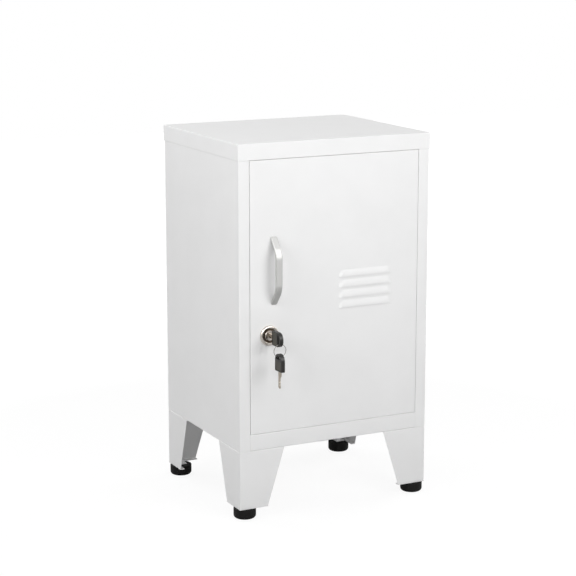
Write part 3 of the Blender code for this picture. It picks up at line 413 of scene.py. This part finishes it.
def makeSidePanels():
    panel = {"stile": 0.01815, "return": 0.014, "rear": 0.015, "endFlange": 0.016, "bend": 0.001,
             "relief": 0.004}
    low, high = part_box("side_panel_right")
    inner = high.x - panel["stile"]
    reliefs = (low.y + panel["relief"], high.y - panel["relief"])
    piece = startBlock("sidePanelRight", (inner, low.y, low.z), high)
    dropFaces(piece, lambda face: abs(face.normal.z) > 0.5 or face.normal.y > 0.5
              or face.normal.x < -0.5)
    for y in reliefs:
        divide(piece, (0, y, 0), (0, 1, 0), lambda face: face.normal.x > 0.5)
    pull(piece, lambda edge: near(place(edge).y, high.y), (-panel["rear"], 0, 0))
    pull(piece, lambda edge: near(place(edge).x, inner) and near(place(edge).y, low.y),
         (0, panel["return"], 0))
    for z in (low.z, high.z):
        pull(piece, lambda edge: near(place(edge).x, high.x) and near(place(edge).z, z)
             and reliefs[0] < place(edge).y < reliefs[1], (-panel["endFlange"], 0, 0))
    faceOutwards()
    roundBends(piece, panel["bend"])
    thicken(piece)
    twin = copyOf(piece, "sidePanelLeft", Matrix.Diagonal((-1, 1, 1, 1)))
    complete(piece, "cabinet", powderCoat, "side_panel_right")
    complete(twin, "cabinet", powderCoat, "side_panel_left")


def makeStrikePlate():
    # the angle behind the lock side's stile that the door closes against
    strike = {"bend": 0.0014, "holeRadius": 0.0019, "holeDepth": 0.004}
    low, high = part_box("strike_plate")
    piece = startBlock("strikePlate", low, high)
    dropFaces(piece, lambda face: face.normal.x > -0.5 and face.normal.y < 0.5)
    bpy.ops.mesh.select_all(action="SELECT")
    bpy.ops.mesh.flip_normals()
    roundBends(piece, strike["bend"])
    thicken(piece, offset=1)
    for node in ("door_buffer_bottom", "door_buffer_top"):
        button = centreOf(node)
        drill(piece, (button.x, high.y, button.z), "Y", strike["holeRadius"],
              strike["holeDepth"])
    complete(piece, "cabinet", powderCoat, "strike_plate")


def makeFloorPanel():
    # the floor folds down into the rail under the door
    floor = {"railHalf": 0.14582, "step": 0.0143, "lip": 0.014, "flange": 0.02,
             "flangeInset": 0.03, "bend": 0.0015}
    low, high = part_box("floor_panel")
    piece = startBlock("floorPanel", low, high)
    dropFaces(piece, lambda face: face.normal.z < 0.5 and face.normal.y > -0.5)
    for side in (-1, 1):
        divide(piece, (side * floor["railHalf"], 0, 0), (1, 0, 0))
    flangeFrom, flangeTo = frontY + floor["flangeInset"], rearY - floor["flangeInset"]
    for y in (frontY + floor["step"], flangeFrom, flangeTo):
        divide(piece, (0, y, 0), (0, 1, 0), lambda face: face.normal.z > 0.5)
    dropFaces(piece, lambda face: abs(place(face).x) > floor["railHalf"]
              and place(face).y < frontY + floor["step"])
    pull(piece, lambda edge: near(place(edge).z, low.z), (0, floor["lip"], 0))
    for side in (-1, 1):
        pull(piece, lambda edge: near(place(edge).x, side * high.x)
             and flangeFrom < place(edge).y < flangeTo, (0, 0, -floor["flange"]))
    roundBends(piece, floor["bend"])
    thicken(piece)
    drill(piece, centreOf("hinge_bush_bottom"), "Z", **bushHole)
    complete(piece, "cabinet", powderCoat, "floor_panel")


def makeShelf():
    shelf = {"bend": 0.0015}
    piece = startBlock("shelfTray", *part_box("shelf"))
    dropFaces(piece, lambda face: face.normal.z < -0.5)
    roundBends(piece, shelf["bend"])
    thicken(piece)
    complete(piece, "shelf", powderCoat, "shelf")


# legs and feet

def makeLegs():
    leg = {"foot": 0.048, "flange": 0.014, "bend": 0.0012, "rise": 0.0002}
    low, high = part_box("leg_rear_right")
    high.z += leg["rise"]        # up against the body, so that the joint is a hairline
    piece = startBlock("legRearRight", low, high)
    dropFaces(piece, lambda face: face.normal.x < 0.5 and face.normal.y < 0.5)
    for axis in (0, 1):          # each side tapers to the foot
        pick(piece, "VERT", lambda vert: near(vert.co.z, low.z) and near(vert.co[axis], low[axis]))
        move = [0, 0, 0]
        move[axis] = high[axis] - leg["foot"] - low[axis]
        bpy.ops.transform.translate(value=move)
    pull(piece, lambda edge: near(place(edge).z, high.z), (0, 0, 0))
    mesh = bmesh.from_edit_mesh(piece.data)
    for vert in [vert for vert in mesh.verts if vert.select]:      # the flange's inner outline
        for axis in (0, 1):
            if near(vert.co[axis], high[axis]):
                vert.co[axis] -= leg["flange"]
    bmesh.update_edit_mesh(piece.data)
    faceOutwards()
    roundBends(piece, leg["bend"])
    thicken(piece)
    centre = Matrix.Translation((0, (frontY + rearY) / 2, 0))
    sides = {"front_left": (-1, -1), "front_right": (1, -1), "rear_left": (-1, 1)}
    for where, (sideX, sideY) in sides.items():
        mirror = centre @ Matrix.Diagonal((sideX, sideY, 1, 1)) @ centre.inverted()
        complete(copyOf(piece, nameAt("leg", where), mirror), "cabinet", powderCoat,
                 "leg_" + where)
    complete(piece, "cabinet", powderCoat, "leg_rear_right")


def makeKnobs():
    knob = {"radius": 0.0175, "height": 0.0167, "foot": 0.0125, "footRound": 0.005,
            "topRound": 0.0012, "socket": 0.0033, "socketDepth": 0.009, "middle": 0.0004}
    top = knob["height"]
    profile = [(knob["middle"], 0.0), (knob["foot"], 0.0)]
    profile += [(knob["foot"] + knob["footRound"] * sine, knob["footRound"] * (1 - cosine))
                for sine, cosine in quarterTurn(8, first=1)]
    profile += [(knob["radius"] - knob["topRound"] * (1 - cosine),
                 top - knob["topRound"] * (1 - sine)) for sine, cosine in quarterTurn(4)]
    bottom = top - knob["socketDepth"]
    profile += [(knob["socket"], top), (knob["socket"], bottom), (knob["middle"], bottom)]
    for where in ("front_left", "front_right", "rear_left", "rear_right"):
        centre = centreOf("foot_knob_" + where)
        piece = turnPiece(nameAt("footKnob", where), profile)
        putAt(piece, Matrix.Translation((centre.x, centre.y, 0)))
        complete(piece, "foot_" + where, footPlastic, "foot_knob_" + where)


# door and handle

def makeDoor():
    door = {
        "lip": 0.012, "bend": 0.0007, "grow": 0.00025, "growUp": 0.0005,
        "louvre": {"count": 4, "width": 0.094, "fromEdge": 0.0459, "aboveFoot": 0.183,
                   "pitch": 0.0161, "height": 0.0115, "proud": 0.0016, "slant": 0.006,
                   "taper": 0.0035, "fullAt": 0.9, "ease": 1.1, "cuts": 39},
        "holeDepth": 0.006,
        "holes": {"lock_housing": (0.0098, 48), "handle_screw_top": (0.0023, 24),
                  "handle_screw_bottom": (0.0023, 24)},      # radius and sides
    }
    louvre = door["louvre"]
    low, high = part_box("door_panel")
    right = high.x - louvre["fromEdge"]
    left = right - louvre["width"]
    lips = [low.z + louvre["aboveFoot"] + number * louvre["pitch"]
            for number in range(louvre["count"])]
    low = Vector((low.x - door["grow"], frontY, low.z - door["growUp"]))
    high += Vector((door["grow"], 0, door["growUp"]))
    piece = startBlock("doorPanel", low, high)
    dropFaces(piece, lambda face: face.normal.y > 0.5)
    # lips at the back
    pull(piece, lambda edge: True, (0, 0, 0))
    middle = (low + high) / 2
    size = high - low
    bpy.ops.transform.resize(value=((size.x - 2 * door["lip"]) / size.x, 1,
                                    (size.z - 2 * door["lip"]) / size.z),
                             center_override=(middle.x, high.y, middle.z))
    faceOutwards()
    roundBends(piece, door["bend"])

    # louvres pressed out of the skin
    def onSkin(face):
        return face.normal.y < -0.99 and near(place(face).y, frontY)

    def inColumn(face):
        return onSkin(face) and left < place(face).x < right

    def inHood(face):
        return inColumn(face) and any(lip < place(face).z < lip + louvre["height"]
                                      for lip in lips)

    for x in (left, right):
        divide(piece, (x, 0, 0), (1, 0, 0), onSkin)
    for lip in lips:
        for z in (lip, lip + louvre["height"]):
            divide(piece, (0, 0, z), (0, 0, 1), inColumn)
    pick(piece, "FACE", inHood)
    bpy.ops.mesh.subdivide(number_cuts=louvre["cuts"])
    pick(piece, "EDGE", lambda edge: left < place(edge).x < right and near(place(edge).y, frontY)
         and any(all(near(vert.co.z, lip) for vert in edge.verts) for lip in lips))
    bpy.ops.mesh.edge_split(type="EDGE")
    mesh = bmesh.from_edit_mesh(piece.data)
    hoods = {vert for face in mesh.faces if inHood(face) for vert in face.verts}
    for vert in hoods:
        foot = max(lip for lip in lips if lip < vert.co.z + sameSpot)
        rise = 1 - (vert.co.z - foot) / louvre["height"]     # 0 at the hood's top, 1 at its lip
        inside = min(vert.co.x - left, right - vert.co.x) - louvre["slant"] * (1 - rise)
        shares = (rise / louvre["fullAt"], inside / louvre["taper"])
        swell = [math.sin(right90 * max(0, min(1, share))) ** louvre["ease"] for share in shares]
        vert.co.y -= louvre["proud"] * swell[0] * swell[1]
    bmesh.update_edit_mesh(piece.data)
    thicken(piece)
    for node, (radius, sides) in door["holes"].items():
        centre = centreOf(node)
        drill(piece, (centre.x, frontY, centre.z), "Y", radius, door["holeDepth"], sides)
    complete(piece, "door", powderCoat, "door_panel")


def makeHandle():
    # a flat bar, bent twice: straight grip, sloping arms, sawn off level where they meet the door
    grip = {"half": 0.0295, "proud": 0.020, "thick": 0.0052, "edge": 0.0023, "bend": 0.019,
            "overlong": 1.5}
    low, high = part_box("door_handle")
    middle = (low + high) / 2
    outer = frontY - grip["proud"]
    deselectAll()
    bpy.ops.mesh.primitive_plane_add(size=1, location=(middle.x, outer, middle.z),
                                     rotation=(right90, 0, 0))
    piece = bpy.context.object
    piece.name = "doorHandle"
    piece.scale = (high.x - low.x, 2 * grip["half"], 1)
    bpy.ops.object.transform_apply(location=True, rotation=True, scale=True)
    bpy.ops.object.mode_set(mode="EDIT")
    arm = Vector((0, high.y - outer, (high.z - low.z) / 2 - grip["half"])) * grip["overlong"]
    for side in (-1, 1):
        pull(piece, lambda edge: near(place(edge).z, middle.z + side * grip["half"]),
             (0, arm.y, side * arm.z))
    pick(piece, "EDGE", lambda edge: len(edge.link_faces) == 2)
    bpy.ops.mesh.bevel(offset=grip["bend"] / 2, segments=12, affect="EDGES")
    thicken(piece, grip["thick"])
    edit(piece)
    bpy.ops.mesh.select_all(action="SELECT")
    bpy.ops.mesh.bisect(plane_co=high, plane_no=(0, 1, 0), use_fill=True, clear_outer=True)
    breakEdges(piece, grip["edge"], 5, 40)
    complete(piece, "door", satinNickel, "door_handle")


# lock

def makeLock():
    lock = {"bore": 0.0068, "barrel": 0.0095, "behind": 0.0216, "seat": 0.0003, "bezel": 0.0155,
            "rimRound": 0.0022, "proud": 0.004, "recess": 0.0112, "recessEdge": 0.0006,
            "draft": 0.0004, "floor": 0.0018, "grooveOut": 0.0092, "grooveIn": 0.0084,
            "grooveSlope": 0.0002, "grooveDepth": 0.0005, "shadeInset": 0.0001}
    plug = {"barrel": 0.0065, "behind": 0.0212, "gap": 0.0003, "head": 0.0080, "face": 0.0034,
            "edge": 0.0005, "dish": 0.0058, "dishDepth": 0.0003, "middle": 0.0003,
            # slot and shank: half their width and height, and where they run from and to
            "slot": (0.0013, 0.0038), "slotFrom": -0.006, "slotTo": 0.012,
            "shank": (0.0035, 0.0035), "shankFrom": 0.0211, "shankTo": 0.0236}
    centre = centreOf("lock_housing")
    forward = Matrix.Translation((centre.x, frontY, centre.z)) @ Matrix.Rotation(right90, 4, "X")
    proud, floor = lock["proud"], lock["floor"]
    profile = [(lock["bore"], -lock["behind"]), (lock["barrel"], -lock["behind"]),
               (lock["barrel"], lock["seat"]), (lock["bezel"], lock["seat"])]
    profile += [(lock["bezel"] - lock["rimRound"] * (1 - cosine),
                 proud - lock["rimRound"] * (1 - sine)) for sine, cosine in quarterTurn(6)]
    profile += [(lock["recess"] + lock["recessEdge"], proud),
                (lock["recess"], proud - lock["recessEdge"]),
                (lock["recess"] - lock["draft"], floor), (lock["grooveOut"], floor),
                (lock["grooveOut"] - lock["grooveSlope"], floor - lock["grooveDepth"]),
                (lock["grooveIn"] + lock["grooveSlope"], floor - lock["grooveDepth"]),
                (lock["grooveIn"], floor), (lock["bore"], floor)]
    housing = putAt(turnPiece("lockHousing", profile, 96, closed=True), forward)
    complete(housing, "door", brightNickel, "lock_housing", 30)
    housing.data.materials.append(recessShadeNickel)
    for face in housing.data.polygons:       # painted shade: faces inside the recess, a hair in from its wall, take the darker nickel
        spot = Vector((face.center.x - centre.x, face.center.z - centre.z))
        inRecess = spot.length < lock["recess"] - lock["shadeInset"]
        face.material_index = int(face.center.y < frontY and inRecess)

    head, face, under = plug["head"], plug["face"], floor + plug["gap"]
    dish = face - plug["dishDepth"]
    profile = [(plug["barrel"], -plug["behind"]), (plug["barrel"], under), (head, under),
               (head, face - plug["edge"]), (head - plug["edge"], face), (plug["dish"], face),
               (plug["dish"] - plug["dishDepth"], dish), (plug["middle"], dish)]
    piece = putAt(turnPiece("lockPlug", profile, 96), forward)

    def squareBlock(name):
        across, up = plug[name]
        return startBlock(name, (centre.x - across, frontY + plug[name + "From"], centre.z - up),
                          (centre.x + across, frontY + plug[name + "To"], centre.z + up))

    cutAway(piece, squareBlock("slot"))
    shank = squareBlock("shank")             # the square end that carries the cam
    only(piece)
    shank.select_set(True)
    bpy.ops.object.join()
    complete(piece, "lock", brightNickel, "lock_plug", 30)


# keys and ring

def runsAcross(edge):
    # true for an edge that goes straight through a key from side to side
    return abs(edge.verts[0].co.x - edge.verts[1].co.x) > 0.0015


bow = {"endFlat": 0.0008, "corner": 0.0014, "edge": 0.00025, "slotHigh": 0.0154,
       "slotWide": 0.0045, "slotFromEnd": 0.0062, "slotOver": 0.001, "slotFlat": 0.00005,
       "merge": 0.00005, "panelFrom": 0.0112, "rim": 0.0008, "sink": 0.0005,
       "sinkSlope": 0.0002}


def makeBow():
    low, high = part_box("key_bow")
    middle = (low + high) / 2
    piece = startBlock("keyBow", low, high)
    pick(piece, "EDGE", lambda edge: runsAcross(edge) and near(place(edge).y, low.y))
    bpy.ops.mesh.bevel(offset=(high.z - low.z) / 2 - bow["endFlat"], segments=16, affect="EDGES")
    pick(piece, "EDGE", lambda edge: runsAcross(edge) and near(place(edge).y, high.y))
    bpy.ops.mesh.bevel(offset=bow["corner"], segments=5, affect="EDGES")
    bpy.ops.mesh.select_all(action="SELECT")
    bpy.ops.mesh.remove_doubles(threshold=bow["merge"])
    breakEdges(piece, bow["edge"], 2, 60)
    edit(piece)
    divide(piece, (0, low.y + bow["panelFrom"], 0), (0, 1, 0))
    halfWide, halfHigh = bow["slotWide"] / 2, bow["slotHigh"] / 2
    slotY = low.y + bow["slotFromEnd"]
    slot = startBlock("slot", (low.x - bow["slotOver"], slotY - halfWide, middle.z - halfHigh),
                      (high.x + bow["slotOver"], slotY + halfWide, middle.z + halfHigh))
    pick(slot, "EDGE", runsAcross)
    bpy.ops.mesh.bevel(offset=halfWide - bow["slotFlat"], segments=8, affect="EDGES")
    cutAway(piece, slot)
    edit(piece)
    # a panel sunk into each side, inside a rim
    pick(piece, "FACE", lambda face: abs(face.normal.x) > 0.99
         and place(face).y > low.y + bow["panelFrom"])
    bpy.ops.mesh.inset(thickness=bow["rim"], depth=0)
    bpy.ops.mesh.inset(thickness=bow["sinkSlope"], depth=-bow["sink"])
    deselectAll()
    return piece


def makeBlade():
    # cuts run along the lower edge, from the tip back to the bow
    blade = {"tipCorner": 0.0023, "tip": 0.0045, "step": 0.0011, "tipEnd": 0.001,
             "edge": 0.00018, "grooveOut": 0.0011, "grooveHalf": 0.0001, "grooveOver": 0.001,
             "grooveEnd": 0.003, "grooveFoot": 0.0002, "grooveTop": 0.0014,
             "depthsMm": (2.7, 3.5, 3.5, 2.9, 2.9, 3.7, 3.7, 2.8, 2.8, 3.1, 3.1, 1.9, 1.9, 0)}
    low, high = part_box("key_blade")
    piece = startBlock("keyBlade", low, high)
    pick(piece, "EDGE", lambda edge: runsAcross(edge) and near(place(edge).y, high.y))
    bpy.ops.mesh.bevel(offset=blade["tipCorner"], segments=2, affect="EDGES")
    depths = [depth / 1000 for depth in blade["depthsMm"]]
    cuts = [high.y - blade["tip"] - blade["step"] * number for number in range(len(depths))]
    for y in cuts:
        divide(piece, (0, y, 0), (0, 1, 0))
    mesh = bmesh.from_edit_mesh(piece.data)
    for vert in mesh.verts:
        if near(vert.co.z, low.z):
            for y, depth in zip(cuts, depths):
                if near(vert.co.y, y):
                    vert.co.z += depth
        if vert.co.y > cuts[0] + blade["tipEnd"]:
            vert.co.z = max(vert.co.z, low.z + depths[0])
    bmesh.update_edit_mesh(piece.data)
    middleZ = centreOf("key_bow").z
    for side in (-1, 1):         # the outline of the milled groove on each side, without depth
        x = (low.x + high.x) / 2 + side * blade["grooveOut"]
        groove = startBlock("groove", (x - blade["grooveHalf"], low.y - blade["grooveOver"],
                                       middleZ + blade["grooveFoot"]),
                            (x + blade["grooveHalf"], high.y - blade["grooveEnd"],
                             middleZ + blade["grooveTop"]))
        cutAway(piece, groove)
    breakEdges(piece, blade["edge"], 2, 40)
    return piece


def makeKeys():
    keyBow = makeBow()
    keyBlade = makeBlade()
    # the spare hangs from the ring: the same key, turned to point down
    turn = (Matrix.Translation(centreOf("spare_key_bow")) @ Matrix.Rotation(-right90, 4, "X")
            @ Matrix.Translation(-centreOf("key_bow")))
    spareBow = copyOf(keyBow, "spareKeyBow", turn)
    spareBlade = copyOf(keyBlade, "spareKeyBlade", turn)
    complete(keyBow, "key", keyPlastic, "key_bow")
    complete(keyBlade, "key", keyBrass, "key_blade", 30)
    complete(spareBow, "spare_key", keyPlastic, "spare_key_bow")
    complete(spareBlade, "spare_key", keyBrass, "spare_key_blade", 30)
    low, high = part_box("key_bow")
    panelOut = (high.x - low.x) / 2 - bow["sink"] / 2
    for piece in (keyBow, spareBow):         # the sunk panels are grained and painted a lighter grey as if lit, the rest is polished black
        piece.data.materials.append(litKeyPanel)
        for face in piece.data.polygons:
            sunk = abs(face.center.x - (low.x + high.x) / 2) < panelOut
            face.material_index = int(abs(face.normal.x) > 0.9 and sunk)


def makeRing():
    # split ring: two turns of round wire lying side by side
    ring = {"wire": 0.00034, "sides": 12, "turns": 2, "pitch": 0.0007, "steps": 72,
            "inset": 0.0007}
    low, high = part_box("key_ring")
    radius = (high.z - low.z) / 2 - ring["inset"]
    deselectAll()
    bpy.ops.mesh.primitive_circle_add(vertices=ring["sides"], radius=ring["wire"],
                                      fill_type="NGON", location=(radius, 0, -ring["pitch"]),
                                      rotation=(right90, 0, 0))
    piece = bpy.context.object
    piece.name = "keyRing"
    bpy.ops.object.transform_apply(location=True, rotation=True, scale=True)
    bpy.ops.object.mode_set(mode="EDIT")
    bpy.ops.mesh.select_all(action="SELECT")
    bpy.ops.mesh.spin(steps=ring["steps"] * ring["turns"], angle=4 * right90 * ring["turns"],
                      center=(0, 0, 0), axis=(0, 0, 1), dupli=False)
    mesh = bmesh.from_edit_mesh(piece.data)
    for index, vert in enumerate(mesh.verts):        # each turn climbs by one pitch
        vert.co.z += ring["pitch"] * (index // ring["sides"]) / ring["steps"]
    bmesh.update_edit_mesh(piece.data)
    faceOutwards()
    putAt(piece, Matrix.Translation((low + high) / 2) @ Matrix.Rotation(right90, 4, "X"))
    complete(piece, "ring", springSteel, "key_ring")


makeTopCap()
makeSidePanels()
makeStrikePlate()
makeFloorPanel()
makeShelf()
print("body made")
makeLegs()
makeKnobs()
print("legs and feet made")
makeDoor()
makeHandle()
makeLock()
print("door made")
makeKeys()
makeRing()
print("keys made")


# nodes that keep their solids

def dressNodes():
    finishes = {
        powderCoat: ("back_panel", "foot_plate_", "shelf_bracket_", "door_stiffener"),
        zincPlate: ("leg_screw_", "foot_stem_", "hinge_pin_", "handle_screw_", "lock_nut",
                    "lock_cam", "cam_screw"),
        bufferRubber: ("door_buffer_",),
        bushNylon: ("hinge_bush_",),
    }
    for name, node in nodes.items():
        for material, starts in finishes.items():
            if name.startswith(starts):
                for materialSlot in node.material_slots:
                    materialSlot.material = material


dressNodes()


# floor, light and camera

def makeStage():
    # paper that the camera sees as white, more so away from the cabinet, so that only the
    # cabinet's own shadow tones it
    floor = {"size": 9, "below": 0.0002, "paper": "#c9c9c9", "nearShare": 0.8, "fade": 1.4,
             "glow": 1.12}
    deselectAll()
    bpy.ops.mesh.primitive_plane_add(size=floor["size"], location=(0, 0, -floor["below"]))
    ground = bpy.context.object
    ground.name = "studioFloor"
    material = bpy.data.materials.new("paperSweep")
    material.use_nodes = True
    tree = material.node_tree
    tree.nodes.clear()
    spot = addNode(tree, "ShaderNodeTexCoord", {}).outputs["Object"]
    centred = addNode(tree, "ShaderNodeMapping", {
        "Vector": spot, "Scale": [1 / floor["fade"]] * 3})
    nearness = addNode(tree, "ShaderNodeTexGradient", {"Vector": centred.outputs["Vector"]},
                       gradient_type="SPHERICAL")
    share = addNode(tree, "ShaderNodeMapRange", {
        "Value": nearness.outputs["Fac"], "From Min": 0, "From Max": 0.5, "To Min": 1,
        "To Max": floor["nearShare"]})
    paper = addNode(tree, "ShaderNodeBsdfDiffuse", {"Color": fromHex(floor["paper"])})
    white = addNode(tree, "ShaderNodeEmission", {"Color": (1, 1, 1, 1), "Strength": floor["glow"]})
    path = addNode(tree, "ShaderNodeLightPath", {})
    amount = addNode(tree, "ShaderNodeMath", {
        0: path.outputs["Is Camera Ray"], 1: share.outputs["Result"]}, operation="MULTIPLY")
    mix = addNode(tree, "ShaderNodeMixShader", {
        0: amount.outputs[0], 1: paper.outputs[0], 2: white.outputs[0]})
    addNode(tree, "ShaderNodeOutputMaterial", {"Surface": mix.outputs[0]})
    ground.data.materials.append(material)


def makeWorld():
    # white to the camera and in reflections, and only a little light on the cabinet
    sky = {"onObject": 0.1, "seen": 1.0}
    world = bpy.data.worlds.new("studioWorld")
    world.use_nodes = True
    bpy.context.scene.world = world
    tree = world.node_tree
    tree.nodes.clear()
    path = addNode(tree, "ShaderNodeLightPath", {})
    seen = path.outputs["Is Camera Ray"]
    for ray in ("Is Glossy Ray", "Is Transmission Ray"):
        seen = addNode(tree, "ShaderNodeMath", {0: seen, 1: path.outputs[ray]},
                       operation="MAXIMUM").outputs[0]
    strength = addNode(tree, "ShaderNodeMapRange", {
        "Value": seen, "To Min": sky["onObject"], "To Max": sky["seen"]})
    glow = addNode(tree, "ShaderNodeBackground", {
        "Color": (1, 1, 1, 1), "Strength": strength.outputs["Result"]})
    addNode(tree, "ShaderNodeOutputWorld", {"Surface": glow.outputs[0]})


def makeLamps():
    lamps = {
        "keySoftbox": {"at": (0.36, -1.2, 0.95), "size": (0.9, 0.6), "watts": 9.4,
                       "target": (0, -0.1, 0.5)},
        "frontFill": {"at": (-0.5, -1.15, 0.9), "size": (0.7, 0.6), "watts": 3.3,
                      "target": (0, -0.1, 0.45)},
        "leftSoftbox": {"at": (-1.3, -0.5, 1.05), "size": (0.8, 0.8), "watts": 9.2,
                        "target": (-0.15, -0.05, 0.5)},
        "rearSoftbox": {"at": (-1.0, 1.8, 1.2), "size": (1.2, 1.2), "watts": 21,
                        "target": (0, 0.1, 0.35)},
        "topSoftbox": {"at": (0.05, 0.5, 1.4), "size": (0.5, 0.5), "watts": 1.5,
                       "target": (0, 0.1, 0.58)},
        "rightSoftbox": {"at": (1.9, 0.35, 1.1), "size": (1.2, 1.2), "watts": 20,
                         "target": (0.1, 0.1, 0.35)},
    }
    for name, light in lamps.items():
        deselectAll()
        bpy.ops.object.light_add(type="AREA", location=light["at"])
        lamp = bpy.context.object
        lamp.name = name
        lamp.data.shape = "RECTANGLE"
        lamp.data.size, lamp.data.size_y = light["size"]
        lamp.data.energy = light["watts"]
        aim = Vector(light["target"]) - Vector(light["at"])
        lamp.rotation_euler = aim.to_track_quat("-Z", "Y").to_euler()


def makeCamera():
    view = {"at": (-1.27924, -2.49304, 0.91764), "target": (-0.01173, 0.0222, 0.32583),
            "lens": 112.13, "sensor": 36, "from": 0.05, "to": 50}
    data = bpy.data.cameras.new("photoCamera")
    camera = bpy.data.objects.new("photoCamera", data)
    bpy.context.scene.collection.objects.link(camera)
    camera.location = view["at"]
    aim = Vector(view["target"]) - Vector(view["at"])
    camera.rotation_euler = aim.to_track_quat("-Z", "Y").to_euler()
    data.lens, data.sensor_width = view["lens"], view["sensor"]
    data.clip_start, data.clip_end = view["from"], view["to"]
    bpy.context.scene.camera = camera


makeStage()
makeWorld()
makeLamps()
makeCamera()
bpy.context.scene.view_settings.view_transform = "Standard"
print("stage set")
